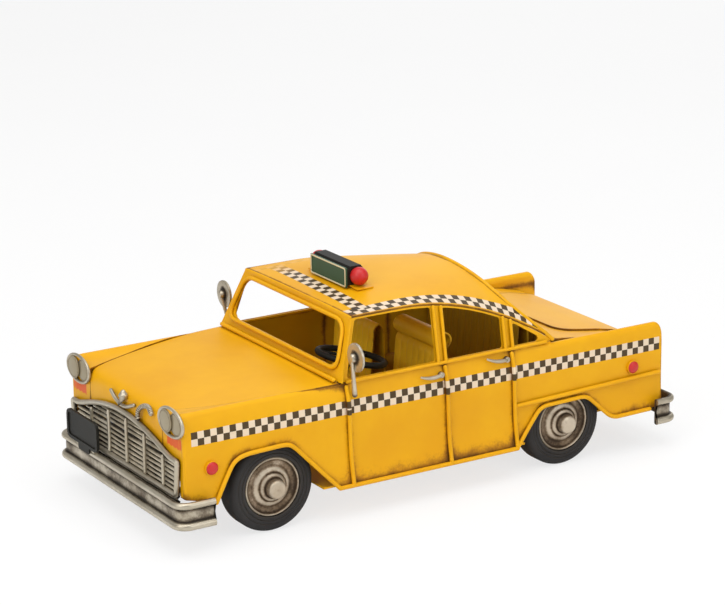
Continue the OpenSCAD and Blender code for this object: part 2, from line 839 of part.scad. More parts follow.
module left_rear_wheel() { wheel(rear_axle_x); }
module right_rear_wheel() { mirror([0, 1, 0]) wheel(rear_axle_x); }
module left_front_tyre() { tyre(front_axle_x); }
module right_front_tyre() { mirror([0, 1, 0]) tyre(front_axle_x); }
module left_rear_tyre() { tyre(rear_axle_x); }
module right_rear_tyre() { mirror([0, 1, 0]) tyre(rear_axle_x); }

// Bumpers: two beads with a recessed web, bent round the corners
web_t = 1;
web_in = 0.4;
module bumper_section() {
    translate([0, bead_high_z]) circle(bead_high_r);
    translate([0, bead_low_z]) circle(bead_low_r);
    translate([-web_in - web_t, bead_low_z]) square([web_t, bead_high_z - bead_low_z]);
}
module bumper(nose, wrap) {
    mid_x = nose - bead_low_r;
    mid_y = bumper_half_w - bead_low_r;
    corner = bumper_corner_r - bead_low_r;
    color(pewter) union() {
        translate([mid_x, mid_y - corner, 0]) rotate([90, 0, 0])
            linear_extrude(2 * (mid_y - corner)) bumper_section();
        both_sides() {
            translate([mid_x - corner, mid_y - corner, 0]) rotate_extrude(angle = 90)
                translate([corner, 0]) bumper_section();
            translate([nose - wrap, mid_y, 0]) rotate([90, 0, 90])
                linear_extrude(mid_x - corner - nose + wrap) bumper_section();
        }
    }
}
module front_bumper() { bumper(bumper_front_x, front_wrap); }
module rear_bumper() { mirror([1, 0, 0]) bumper(-bumper_rear_x, rear_wrap); }

// Flat irons on top of the floor that carry the bumpers
iron_y = body_half_w * 0.47;
iron_half_w = 4;
iron_t = 1.4;
iron_front_l = 14;
iron_rear_l = 12;
module bumper_brackets() {
    web = bead_low_r + web_in + web_t + seam;
    low = floor_top_z + seam;
    color(pewter) both_sides() {
        translate([tongue_front_x - iron_front_l, iron_y - iron_half_w, low])
            cube([bumper_front_x - web - tongue_front_x + iron_front_l, 2 * iron_half_w, iron_t]);
        translate([bumper_rear_x + web, iron_y - iron_half_w, low])
            cube([tongue_rear_x + iron_rear_l - bumper_rear_x - web, 2 * iron_half_w, iron_t]);
    }
}

// Grille: a moustache frame of stout wire, louvred slats and thin upright bars
grille_wire_r = 1.4;
grille_x = front_x + grille_wire_r + seam;
bar_r = 0.85;
bar_pitch = grille_half_w * 0.34;
bar_shift = 4;
module grille_frame() {
    color(pewter)
        wire(
            concat(
                [[grille_x, -grille_half_w + 2, grille_low_z], [grille_x, grille_half_w - 2, grille_low_z]],
                [
                    for (i = [0:grille_steps])
                        let (y = grille_half_w * (1 - 2 * i / grille_steps))
                        [grille_x, y, grille_top(y)]
                ]
            ),
            grille_wire_r, [1, 0, 0], closed = true
        );
}
slat_h = 2;
slat_clear = grille_wire_r * 1.25 + 0.3;
module grille_slats() {
    lowest = grille_low_z + grille_wire_r + 0.3;
    pitch = (grille_end_z + grille_rise - slat_clear - slat_h - lowest) / (slat_count - 0.4);
    color(pewter) for (i = [0:slat_count - 1]) {
        z = lowest + pitch * i;
        over = z + slat_h + slat_clear - grille_end_z;
        reach = over <= 0
            ? grille_half_w - 2.4 - grille_wire_r
            : (grille_half_w - grille_shoulder) * sqrt(1 - pow(over / grille_rise, 1 / 1.2)) - 1.2;
        along_y(-reach, reach) polygon([
            [front_x - 0.9, z + slat_h - 0.7], [front_x + 0.7, z], [front_x + 1.1, z + 0.5],
            [front_x - 0.5, z + slat_h]
        ]);
    }
}
module grille_bars() {
    color(pewter) for (k = [-2:2]) {
        y = bar_shift + k * bar_pitch;
        high = grille_top(abs(y) + bar_r) - slat_clear;
        low = grille_low_z + grille_wire_r + 0.15;
        translate([front_x + 1.1 + seam + bar_r, y, low]) cylinder(h = high - low, r = bar_r);
    }
}

// Paired headlights in an oval wire ring
light_inset = 6.5;
light_y = grille_half_w - light_inset;
light_z = belt_z - 5.3;
light_ring = [12, 6.8];
light_wire_r = 0.8;
light_disc_r = 5.2;
light_pitch = 4.2;
light_steps = 28;
module headlight_rings() {
    color(pewter) both_sides()
        wire(
            [
                for (i = [0:light_steps - 1])
                    let (a = i * 360 / light_steps)
                    [
                        front_x + light_wire_r + seam,
                        light_y + light_ring.x * cos(a),
                        light_z + light_ring.y * sin(a)
                    ]
            ],
            light_wire_r, [1, 0, 0], closed = true
        );
}
module headlight_discs() {
    disc_t = 1;
    color(pewter) for (y = [-light_y, light_y], k = [0, 1])
        translate([front_x + seam + k * (disc_t + seam), y + (1 - 2 * k) * light_pitch, light_z])
            rotate([0, 90, 0]) cylinder(h = disc_t, r = light_disc_r);
}

// Teardrop and V on the nose, and the hooked strap beside them
// Their lines are (Y, depth below the belt line)
function on_nose(q, stand) = [nose_x(belt_z - q.y) + stand, q.x, belt_z - q.y];
v_line = [[-13.6, 6.7], [-7, 9.7], [-1.3, 10.9], [4, 10.5], [11.4, 7.5]];
v_r = 0.9;
v_stand = 1.5;
drop_at = [0.5, 5.7];
drop_r = 2.4;
drop_stand = 2.4;
module hood_ornament() {
    drop = on_nose(drop_at, drop_stand);
    skin = [for (i = [0:5]) nose_path[i] + [0.4, 0.2]];
    color(pewter) {
        wire([for (q = v_line) on_nose(q, v_stand)], v_r, [1, 0, 0]);
        intersection() {
            union() {
                translate(drop) sphere(drop_r);
                rod(drop + [0.8, 0, -1.5], drop + [2.2, -0.8, -4.2], 1.8, 0.5);
            }
            along_y(-far / 2, far / 2) polygon(concat(skin, [[far, skin[5].y], [far, skin[0].y]]));
        }
    }
}
strap_line = [[18, 12.6], [17, 9.9], [18.6, 6.5], [22, 4.7], [26.4, 4.7], [30.4, 6.5]];
strap_r = 1.3;
strap_stand = 2.1;
module hood_strap() {
    color(pewter) wire([for (q = strap_line) on_nose(q, strap_stand)], strap_r, [1, 0, 0]);
}

// Blank number plate standing before the bumper on its bracket
plate_y = -grille_half_w * 0.56;
plate_z = bead_high_z + 11.5;
plate_size = [33.8, 15.2];
plate_corner_r = 3.4;
plate_rim = 1.7;
plate_t = 1.5;
plate_x = bumper_front_x + 0.5;
function box_outline(c, s) = [
    c + [-s.x, -s.y] / 2, c + [s.x, -s.y] / 2, c + [s.x, s.y] / 2, c + [-s.x, s.y] / 2
];
module number_plate() {
    tab = [12, 5.6];
    centre = [plate_y, plate_z];
    tab_at = centre - [0, plate_size.y / 2 + 0.8];
    field = plate_size - 2 * [plate_rim, plate_rim];
    color(charcoal) difference() {
        union() {
            along_x(plate_x, plate_x + plate_t)
                polygon(rounded(box_outline(centre, plate_size), plate_corner_r));
            along_x(plate_x, plate_x + plate_t / 2)
                polygon(rounded(box_outline(tab_at, tab), 1.2));
        }
        along_x(plate_x + plate_t - 0.6, plate_x + plate_t + 1)
            polygon(rounded(box_outline(centre, field), plate_corner_r - plate_rim));
    }
}
module plate_bracket() {
    stand_low = bead_high_z + bead_high_r + seam;
    color(pewter) along_x(plate_x - 1.2 - seam, plate_x - seam)
        polygon(rounded(
            [
                [plate_y - 10, stand_low], [plate_y + 10, stand_low],
                [plate_y + 14, plate_z + 5], [plate_y - 14, plate_z + 5]
            ],
            1.5
        ));
}

// Round door mirrors on tapered stalks
mirror_x = cowl_x - 4.5;
module door_mirror() {
    disc_t = 1.4;
    boss_l = 2.7;
    foot_z = belt_z - 5.8;
    neck = [mirror_x + disc_t / 2 + boss_l / 2, mirror_y - 0.4, mirror_z - 1.2];
    foot = [front_seam_x - 2.5, side_y(foot_z) + 1.6, foot_z];
    color(pewter) union() {
        translate([mirror_x - disc_t / 2, mirror_y, mirror_z]) rotate([0, 90, 0]) {
            cylinder(h = disc_t, r = mirror_r);
            cylinder(h = disc_t + boss_l, r = 2.2);
        }
        rod(neck, foot, 0.8, 1.3);
    }
}
module left_mirror() { door_mirror(); }
module right_mirror() { mirror([0, 1, 0]) door_mirror(); }

// Lever handles with a round boss at the seam end
// Each is (X, Z, rise of the lever over its length)
handles = [[mid_seam_x + 3.7, belt_z - 5.1, 0.8], [rear_seam_x + 4.3, belt_z - 4.2, 2.2]];
module door_handles() {
    lever = 12;
    stand = 1.2;
    lever_r = 0.9;
    boss_r = 1.5;
    color(pewter) both_sides() for (h = handles) {
        y = side_y(h.y - boss_r) + 2 * seam;
        arm = [h.x, y + stand + 0.3, h.y];
        union() {
            translate([h.x, y + stand + lever_r, h.y]) rotate([90, 0, 0])
                cylinder(h = stand + lever_r, r = boss_r);
            rod(arm, arm + [lever, 0, h.z], lever_r, lever_r * 0.7);
        }
    }
}

// Round marker lamps on the sides and tail lamps at the rear, each a red lens in a raised rim
lens_r = 2.5;
rim_w = 1;
rim_h = 1.1;
lens_bulge = 1.8;
side_lamps = [[front_axle_x + 34.7, flare_z + 10.5], [rear_axle_x - 41.2, flare_z + 16.2]];
tail_lamp = [fin_in_y - 12.6, flare_z + 12];
module at_lamps() {
    both_sides() {
        for (q = side_lamps) translate([q.x, body_half_w + seam, q.y]) rotate([-90, 0, 0]) children();
        translate([tail_x - seam, tail_lamp.x, tail_lamp.y]) rotate([0, -90, 0]) children();
    }
}
module lens_rims() {
    color(taxi_yellow) at_lamps() difference() {
        cylinder(h = rim_h, r = lens_r + rim_w);
        translate([0, 0, -1]) cylinder(h = rim_h + 2, r = lens_r + press_fit);
    }
}
module red_lenses() {
    color(lamp_red) at_lamps() {
        cylinder(h = rim_h, r = lens_r);
        translate([0, 0, rim_h - lens_bulge]) intersection() {
            sphere(norm([lens_r, lens_bulge]));
            translate([0, 0, lens_bulge]) cylinder(h = lens_r, r = lens_r);
        }
    }
}

// Roof sign: bent bracket, black housing, bare face and a lamp at each end
bracket_t = 0.6;
sign_low_z = roof_crown_z - crown_fall * pow(sign_x - 1 - roof_crown_x, 2) + 0.3;
module sign_bracket() {
    rear = sign_x - 0.6;
    front = sign_x + sign_d - 1.5;
    foot_y = sign_half_l + 7;
    bend_y = sign_half_l + 2;
    half = [
        [sign_half_l + 0.6, sign_low_z], [bend_y, roof_z(rear, bend_y) + seam],
        [foot_y, roof_z(rear, foot_y) + seam]
    ];
    color(taxi_yellow) along_x(rear, front)
        sheet(concat(reversed([for (q = half) [-q.x, q.y]]), half), bracket_t);
}
housing_z = sign_low_z + bracket_t + seam;
module sign_housing() {
    step = 1.3;
    color(charcoal) along_y(-sign_half_l, sign_half_l) translate([sign_x, housing_z]) polygon([
        [0.6, 0], [sign_d, 0], [sign_d, sign_h - step], [sign_d - 1, sign_h - step], [sign_d - 1.6, sign_h],
        [2.4, sign_h], [0.6, sign_h - 2.2], [0, sign_h - 4]
    ]);
}
face_t = 1;
module sign_face() {
    centre = [0, housing_z + sign_h / 2 - 0.8];
    size = [2 * sign_half_l, sign_h + 0.4];
    color([0.2, 0.32, 0.24]) difference() {
        along_x(sign_x + sign_d + seam, sign_x + sign_d + seam + face_t) polygon(box_outline(centre, size));
        along_x(sign_x + sign_d + seam + face_t - 0.3, far) polygon(box_outline(centre, size - [1.6, 1.6]));
    }
}
module sign_lamps() {
    centre_y = sign_half_l + 2.2;
    color(lamp_red) both_sides() intersection() {
        translate([sign_x + sign_d / 2 - 0.4, centre_y, housing_z + sign_h / 2 - 0.2]) sphere(lamp_r);
        translate([0, sign_half_l + seam, 0]) cube(far);
    }
}

// Seats: folded sheet with open ends and ribbed fronts
seat_inner_y = 3.5;
seat_outer_y = belt_half_w - 15;
cushion_z = 42;
cushion_l = 26;
seat_low_z = floor_top_z + seam;
rib_r = 0.8;
function seat_path(x, top) = [
    [x + cushion_l, seat_low_z], [x + cushion_l + 1, cushion_z - 3], [x + cushion_l - 2, cushion_z],
    [x + 2, cushion_z - 2], [x, cushion_z], [x - 2.4, top - 2.4], [x - 4.4, top], [x - 6.6, top - 0.6],
    [x - 8.4, top - 4], [x - 9.6, seat_low_z]
];
module seat(x, top, y0, y1, ribs) {
    pitch = (y1 - y0) / ribs;
    along_y(y0, y1) sheet(seat_path(x, top));
    for (i = [0:ribs - 1])
        let (y = y0 + pitch * (i + 0.5))
            rod([x - 0.2, y, cushion_z + 3], [x - 2.1, y, top - 4.4], rib_r, rib_r);
}
driver_x = mid_seam_x - 3;
driver_top_z = belt_z + 1.7;
passenger_x = mid_seam_x + 5.5;
passenger_top_z = belt_z + 4.7;
rear_seat_x = pillar_foot_x + 11.4;
rear_seat_top_z = belt_z + 9;
module driver_seat() {
    roll = [5.2, 4.6];
    color(taxi_yellow) union() {
        seat(driver_x, driver_top_z, seat_inner_y, seat_outer_y, 7);
        translate([driver_x - 6, 0, driver_top_z + roll.y - 0.9])
            along_y(seat_inner_y, seat_outer_y) difference() {
                polygon([for (a = [0:20:340]) [roll.x * cos(a), roll.y * sin(a)]]);
                polygon([for (a = [0:20:340]) [(roll.x - sheet_t) * cos(a), (roll.y - sheet_t) * sin(a)]]);
            }
    }
}
module passenger_seat() {
    color(taxi_yellow) seat(passenger_x, passenger_top_z, -seat_outer_y, -seat_inner_y, 7);
}
module rear_seat() {
    color(taxi_yellow) seat(rear_seat_x, rear_seat_top_z, -seat_outer_y, seat_outer_y, 14);
}

// Steering wheel, tilted to the driver, on a column down to the floor
steer_tilt = 30;
steer_centre = [cowl_x - 29, seat_outer_y - 21.5, belt_z - 1.3];
steer_wire_r = 1.6;
hub_drop = 1.6;
module steering_wheel() {
    color(charcoal) translate(steer_centre) rotate([0, -steer_tilt, 0]) union() {
        rotate_extrude() translate([steer_r, 0]) circle(steer_wire_r);
        translate([0, 0, -hub_drop]) cylinder(h = 3, r = 2.6);
        for (a = [90, 210, 330]) rotate([0, 90, a]) cylinder(h = steer_r, r = 0.8);
    }
}
module steering_column() {
    hub_low = hub_drop + seam;
    drop = (steer_centre.z - hub_low * cos(steer_tilt) - floor_top_z) / cos(steer_tilt);
    color(charcoal) difference() {
        translate(steer_centre) rotate([0, 180 - steer_tilt, 0])
            translate([0, 0, hub_low]) cylinder(h = drop + 4, r = 1.3);
        translate([-far / 2, -far / 2, floor_top_z + seam - far]) cube([far, far, far]);
    }
}

floor_pan();
front_axle_bracket();
rear_axle_bracket();
left_front_fender();
right_front_fender();
left_front_door();
right_front_door();
left_rear_door();
right_rear_door();
left_rear_quarter();
right_rear_quarter();
hood();
windshield_frame();
windshield_trim();
left_window_frame();
right_window_frame();
window_trim();
roof();
roof_rim_wire();
rear_deck();
trunk_lid();
tail_panel();
left_trim_wires();
right_trim_wires();
front_bumper();
rear_bumper();
bumper_brackets();
grille_frame();
grille_slats();
grille_bars();
headlight_rings();
headlight_discs();
hood_ornament();
hood_strap();
number_plate();
plate_bracket();
left_mirror();
right_mirror();
door_handles();
lens_rims();
red_lenses();
sign_bracket();
sign_housing();
sign_face();
sign_lamps();
driver_seat();
passenger_seat();
rear_seat();
steering_wheel();
steering_column();
front_axle();
left_front_wheel();
right_front_wheel();
left_front_tyre();
right_front_tyre();
rear_axle();
left_rear_wheel();
right_rear_wheel();
left_rear_tyre();
right_rear_tyre();
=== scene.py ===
import math
import bpy
import numpy as np
from mathutils import Matrix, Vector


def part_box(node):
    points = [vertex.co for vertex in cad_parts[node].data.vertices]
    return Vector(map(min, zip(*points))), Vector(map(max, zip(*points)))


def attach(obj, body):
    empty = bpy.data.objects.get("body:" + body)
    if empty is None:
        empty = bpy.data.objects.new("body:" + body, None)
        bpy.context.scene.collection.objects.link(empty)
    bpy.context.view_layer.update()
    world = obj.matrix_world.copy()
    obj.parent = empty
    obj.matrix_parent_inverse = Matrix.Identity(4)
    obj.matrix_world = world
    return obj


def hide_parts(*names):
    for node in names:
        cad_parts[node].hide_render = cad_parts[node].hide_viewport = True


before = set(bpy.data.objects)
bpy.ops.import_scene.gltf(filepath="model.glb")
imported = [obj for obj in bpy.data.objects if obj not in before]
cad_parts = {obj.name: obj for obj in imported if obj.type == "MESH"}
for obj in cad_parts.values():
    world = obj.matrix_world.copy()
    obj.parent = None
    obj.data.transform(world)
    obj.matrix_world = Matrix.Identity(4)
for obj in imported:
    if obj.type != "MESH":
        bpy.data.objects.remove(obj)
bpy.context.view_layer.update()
mm = 0.001
print("frame loaded:", len(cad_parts), "nodes")


def nodeBox(name):  # lowest and highest corner of a CAD node, in millimetres
    low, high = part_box(name)
    return np.array(low) / mm, np.array(high) / mm


def unit(a):  # each vector divided by its length
    return a / np.maximum(np.linalg.norm(a, axis=-1, keepdims=True), 1e-9)


# Camera at the photograph's angle: degrees, millimetres and pixels of a 725 x 605 frame
photoView = {"azimuth": 31.42, "elevation": 16.46, "roll": -0.705, "distance": 1350.07,
             "target": (3.013, 0.0, 87.8), "width": 725, "height": 605,
             "focal": 2664.6, "centre": (364.6, 300.5), "sensor": 36.0}


def addCamera(view):
    # eye at the distance from the target along azimuth and elevation; right and up are turned by the roll
    az, el, roll = (math.radians(view[k]) for k in ("azimuth", "elevation", "roll"))
    back = np.array([math.sin(az) * math.cos(el), math.cos(az) * math.cos(el), math.sin(el)])
    right = np.array([-math.cos(az), math.sin(az), 0.0])
    up = np.cross(back, right)
    turnedRight = math.cos(roll) * right + math.sin(roll) * up
    turnedUp = -math.sin(roll) * right + math.cos(roll) * up
    data = bpy.data.cameras.new("photoCamera")
    data.sensor_width = view["sensor"]
    data.lens = view["focal"] * view["sensor"] / view["width"]
    data.shift_x = (view["width"] / 2 - view["centre"][0]) / view["width"]
    data.shift_y = (view["centre"][1] - view["height"] / 2) / view["width"]
    data.clip_start, data.clip_end = 0.01, 100.0
    camera = bpy.data.objects.new("photoCamera", data)
    turn = Matrix(np.column_stack([turnedRight, turnedUp, back]).tolist()).to_4x4()
    eye = (np.array(view["target"]) + view["distance"] * back) * mm
    camera.matrix_world = Matrix.Translation(eye) @ turn
    bpy.context.scene.collection.objects.link(camera)
    bpy.context.scene.camera = camera


addCamera(photoView)
print("camera set")


# Surfaces: a part is (points, quads, values), all arrays; values are named numbers per point
def spaced(x, y, z):  # points from three coordinates that broadcast together
    return np.stack(np.broadcast_arrays(x, y, z), -1)


def turns(count):  # equal angles round a full circle
    return np.linspace(0, 2 * np.pi, count, endpoint=False)


def bunched(count):  # sine of equal angles from -1 to 1: closer steps toward both ends
    return np.sin(np.linspace(-1, 1, count) * np.pi / 2)


def near(distance, reach):  # 1 at an edge, fading out over the reach
    return np.exp(-np.abs(distance) / reach)


def gridQuads(rows, columns, closeRows=False, closeColumns=False):
    # quad (i, j), (i+1, j), (i+1, j+1), (i, j+1) for every cell of a grid, wrapped where it closes
    i = np.arange(rows if closeRows else rows - 1)
    j = np.arange(columns if closeColumns else columns - 1)
    i, j = (a.ravel() for a in np.meshgrid(i, j, indexing="ij"))
    k, l = (i + 1) % rows, (j + 1) % columns
    return np.stack([i * columns + j, k * columns + j, k * columns + l, i * columns + l], 1)


def sheetPart(grid, thickness, values, flip=True):
    # outer face = the grid, inner face = the grid moved back along its normal, edges closed by strips
    if flip:
        grid = grid[:, ::-1]
        values = {k: v[:, ::-1] for k, v in values.items()}
    rows, columns = grid.shape[:2]
    normal = unit(np.cross(np.gradient(grid, axis=0), np.gradient(grid, axis=1)))
    inner = grid - normal * thickness
    count = rows * columns
    index = np.arange(count).reshape(rows, columns)
    loop = np.concatenate([index[:-1, 0], index[-1, :-1], index[:0:-1, -1], index[0, :0:-1]])
    nextLoop = np.roll(loop, -1)
    quads = gridQuads(rows, columns)
    edge = np.stack([nextLoop, loop, loop + count, nextLoop + count], 1)
    points = np.concatenate([grid.reshape(-1, 3), inner.reshape(-1, 3)])
    doubled = {k: np.concatenate([v.ravel(), 0 * v.ravel() - 1 if k.endswith("V") else v.ravel()])
               for k, v in values.items()}
    # the inner face is marked so the paint darkens it: painted shade inside the body
    doubled["inside"] = np.repeat([0.0, 1.0], count)
    return points, np.concatenate([quads, quads[:, ::-1] + count, edge]), doubled


def pathFrames(path, up):
    # tangent from neighbours, then two normals: one square to the tangent and 'up', one square to both
    ahead = np.concatenate([path[1:], path[-1:]])
    behind = np.concatenate([path[:1], path[:-1]])
    t = unit(ahead - behind)
    b = unit(np.cross(t, np.asarray(up, float)))
    return t, b, np.cross(b, t)


def capped(part, rows, sides):
    # closes the first and the last ring of a tube by triangles to their middle points
    points, quads, values = part
    middles = points.reshape(rows, sides, 3)[[0, -1]].mean(1)
    ring, count = np.arange(sides), rows * sides
    following, base = np.roll(ring, -1), count - sides
    head = np.stack([ring, following] + [np.full(sides, count)] * 2, 1)
    foot = np.stack([base + following, base + ring] + [np.full(sides, count + 1)] * 2, 1)
    closedValues = {k: np.concatenate([v, v[[0, -1]]]) for k, v in values.items()}
    return np.concatenate([points, middles]), np.concatenate([quads, head, foot]), closedValues


ballSteps = np.radians([88, 60, 30])  # latitudes of the half ball that ends a tube


def tubePart(path, radius, up, sides=14, closed=False, **values):
    # circle of the given radius carried along the path; open ends are closed by half balls
    count = len(path)
    radius = np.broadcast_to(np.asarray(radius, float), (count,))
    source = np.arange(count)
    if closed:
        t, b, n = (a[1:-1] for a in pathFrames(np.concatenate([path[-1:], path, path[:1]]), up))
    else:
        t, b, n = pathFrames(path, up)
        lift, width = np.sin(ballSteps), np.cos(ballSteps)
        head = path[0] - t[0] * (radius[0] * lift)[:, None]
        foot = path[-1] + t[-1] * (radius[-1] * lift[::-1])[:, None]
        source = np.concatenate([[0] * 3, source, [count - 1] * 3])
        path = np.concatenate([head, path, foot])
        radius = np.concatenate([radius[0] * width, radius, radius[-1] * width[::-1]])
        b, n = b[source], n[source]
    a = turns(sides)[:, None]
    points = path[:, None] + radius[:, None, None] * (np.cos(a) * b[:, None] + np.sin(a) * n[:, None])
    quads = gridQuads(len(path), sides, closeRows=closed, closeColumns=True)
    spread = {}
    for key, value in values.items():
        value = np.asarray(value, float)
        value = value[:, None] if value.ndim == 1 else value
        spread[key] = np.broadcast_to(value, (count, sides))[source].ravel()
    part = points.reshape(-1, 3), quads, spread
    return part if closed else capped(part, len(path), sides)


def turnedPart(profile, centre, axis, segments=72):
    # profile (radius, height, grime) spun about the axis through the centre; heights run along the axis
    profile = np.asarray(profile, float)
    axis = unit(np.asarray(axis, float))
    side = unit(np.cross(axis, [0.0, 0.0, 1.0] if abs(axis[2]) < 0.9 else [1.0, 0.0, 0.0]))
    a = turns(segments)[:, None]
    spin = np.cos(a) * side + np.sin(a) * np.cross(axis, side)
    looped = np.linalg.norm(profile[0, :2] - profile[-1, :2]) < 1e-6
    profile = profile[:-1] if looped else profile
    radius, height, grime = profile.T[..., None, None]
    points = np.asarray(centre, float) + np.maximum(radius, 0.02) * spin + height * axis
    quads = gridQuads(len(profile), segments, closeRows=looped, closeColumns=True)[:, ::-1]
    part = points.reshape(-1, 3), quads, {"grime": np.repeat(grime, segments)}
    if looped:
        return part
    points, quads, values = capped(part, len(profile), segments)
    quads[-2 * segments:] = quads[-2 * segments:, [1, 0, 2, 3]]
    return points, quads, values


def sweptPart(section, path, outward):
    # closed section (outward, up, grime) carried along a path with a given outward direction; flat ends
    across, rise, grime = np.asarray(section, float).T[..., None]
    grid = path[:, None] + across * np.asarray(outward, float)[..., None, :] + rise * [0.0, 0.0, 1.0]
    rows, sides = grid.shape[:2]
    values = {"grime": np.tile(grime[:, 0], rows)}
    part = grid.reshape(-1, 3), gridQuads(rows, sides, closeColumns=True), values
    points, quads, values = capped(part, rows, sides)
    values["grime"][-2:] = 0.5
    return points, quads, values


def mirrored(part):
    # the same part on the other side: Y turned over and every quad walked backwards
    points, quads, values = part
    return points * [1, -1, 1], quads[:, [1, 0, 3, 2]], values


def withMirror(parts):  # the parts and their mirror images
    return parts + [mirrored(p) for p in parts]


def lengthAlong(path):  # running sum of the distances between neighbours
    return np.concatenate([[0], np.cumsum(np.linalg.norm(np.diff(path, axis=0), axis=1))])


def resampled(path, count):
    # points at equal steps of arc length
    s = lengthAlong(path)
    want = np.linspace(0, s[-1], count)
    return np.stack([np.interp(want, s, path[:, k]) for k in range(path.shape[1])], 1)


def arcPath(corners, radii, steps=6):
    # polyline whose inner corners are replaced by parabolic arcs that start 'radius' away from the corner
    corners = np.asarray(corners, float)
    radii = np.broadcast_to(radii, (len(corners),))
    t = np.linspace(0, 1, steps)[:, None]
    pieces = [corners[:1]]
    for before, here, after, r in zip(corners, corners[1:], corners[2:], radii[1:]):
        toBefore, toAfter = before - here, after - here
        a = here + toBefore * min(0.5, r / np.linalg.norm(toBefore))
        b = here + toAfter * min(0.5, r / np.linalg.norm(toAfter))
        pieces.append((1 - t) ** 2 * a + 2 * t * (1 - t) * here + t ** 2 * b)
    pieces.append(corners[-1:])
    return np.concatenate(pieces)


def loopPath(corners, radius, steps, count):
    # the same for a closed outline, then taken at equal steps of arc length
    corners = np.asarray(corners, float)
    wrapped = np.concatenate([corners[-1:], corners, corners[:1]])
    line = arcPath(wrapped, radius, steps)[1:-1]
    return resampled(np.concatenate([line, line[:1]]), count + 1)[:-1]


def climb(path):  # the rows of a profile up to its highest point
    return slice(0, int(np.argmax(path[:, 1])) + 1)


def carried(path, low, end, count):
    # section points at equal steps of arc length, from each height 'low' up to the length 'end'
    length, rising = lengthAlong(path), climb(path)
    start = np.interp(low, path[rising, 1], length[rising])
    s = start[:, None] + (end - start)[:, None] * np.linspace(0, 1, count)
    return np.interp(s, length, path[:, 0]), np.interp(s, length, path[:, 1])


def arcDrop(into, r):  # how far a quarter circle of radius r has fallen away at a distance into it
    return r - np.sqrt(r ** 2 - np.clip(into, 0, r) ** 2)


def makePiece(name, parts, *nodes, look="taxiPaint", slot="taxi_paint", body="body"):
    # joins the parts into one mesh at the origin, stores their values as attributes, and rides on its body
    keys = sorted({k for p in parts for k in p[2]})
    offsets = np.cumsum([0] + [len(p[0]) for p in parts])
    points = np.concatenate([p[0] for p in parts]) * mm
    quads = np.concatenate([p[1] + o for p, o in zip(parts, offsets)])
    mesh = bpy.data.meshes.new(name)
    faces = [f if f[2] != f[3] else f[:3] for f in quads.tolist()]
    mesh.from_pydata(points.tolist(), [], faces)
    for key in keys:
        data = np.concatenate([p[2].get(key, np.zeros(len(p[0]))) for p in parts]).astype(np.float32)
        mesh.attributes.new(key, "FLOAT", "POINT").data.foreach_set("value", data)
    mesh.polygons.foreach_set("use_smooth", np.ones(len(mesh.polygons), bool))
    mesh.update()
    piece = bpy.data.objects.new(name, mesh)
    bpy.context.scene.collection.objects.link(piece)
    mesh.materials.append(finish[look])
    mesh.set_sharp_from_angle(angle=math.radians(38))
    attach(piece, body)
    if nodes:
        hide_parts(*nodes)




# Materials
def linear(*rgb):  # 0-255 display colour to scene-linear
    c = np.array(rgb) / 255
    return (*np.where(c <= 0.04045, c / 12.92, ((c + 0.055) / 1.055) ** 2.4).tolist(), 1.0)


def addNode(tree, kind, inputs=None, **settings):  # node with its inputs set or linked
    node = tree.nodes.new(kind)
    for key, value in settings.items():
        setattr(node, key, value)
    for key, value in (inputs or {}).items():
        if isinstance(value, bpy.types.NodeSocket):
            tree.links.new(value, node.inputs[key])
        else:
            node.inputs[key].default_value = value
    return node


def calc(tree, operation, a, b=0.0, c=0.5):  # one step of arithmetic; c is the third number of MULTIPLY_ADD
    return addNode(tree, "ShaderNodeMath", {0: a, 1: b, 2: c}, operation=operation).outputs[0]


def ramp(tree, value, low, high, toLow=0.0, toHigh=1.0):  # smooth step from low to high
    node = addNode(tree, "ShaderNodeMapRange", {0: value, 1: low, 2: high, 3: toLow, 4: toHigh},
                   interpolation_type="SMOOTHSTEP")
    return node.outputs[0]


def blend(tree, factor, a, b):  # colour a, going over to b as the factor goes to 1
    return addNode(tree, "ShaderNodeMix", {0: factor, 6: a, 7: b}, data_type="RGBA").outputs[2]


def noise(tree, vector, scale, detail=3.0, roughness=0.55):  # cloudy value from 0 to 1
    node = addNode(tree, "ShaderNodeTexNoise",
                   {"Vector": vector, "Scale": scale, "Detail": detail, "Roughness": roughness})
    return node.outputs[0]


def newGroup(name, inputs, outputs):
    # empty node group; sockets named Vector carry vectors, all others single values
    group = bpy.data.node_groups.new(name, "ShaderNodeTree")
    for label in inputs:
        kind = "NodeSocketVector" if label == "Vector" else "NodeSocketFloat"
        group.interface.new_socket(label, in_out="INPUT", socket_type=kind)
    for label in outputs:
        group.interface.new_socket(label, in_out="OUTPUT", socket_type="NodeSocketFloat")
    return group, group.nodes.new("NodeGroupInput").outputs, group.nodes.new("NodeGroupOutput").inputs


def washAndShadeGroup():
    # brushed-on dirt and painted shade: the stored closeness to an edge, broken up by two sizes of noise,
    # plus loose specks
    group, given, result = newGroup("edgeWashAndShade", ("Vector", "Amount"), ("Mask", "Speck"))
    cloud = noise(group, given["Vector"], 85.0, 4.0, 0.62)
    fine = noise(group, given["Vector"], 900.0, 3.0, 0.6)
    uneven = calc(group, "MULTIPLY_ADD", cloud, 1.7, -0.85)
    broken = calc(group, "MULTIPLY_ADD", fine, 0.6, -0.3)
    swing = calc(group, "ADD", uneven, broken)
    swing = calc(group, "MULTIPLY", swing, ramp(group, given["Amount"], 0.0, 0.35, 0.12, 0.55))
    level = calc(group, "ADD", given["Amount"], swing)
    group.links.new(ramp(group, level, 0.12, 0.95), result["Mask"])
    group.links.new(ramp(group, noise(group, given["Vector"], 620.0, 2.0, 0.5), 0.70, 0.76), result["Speck"])
    return group


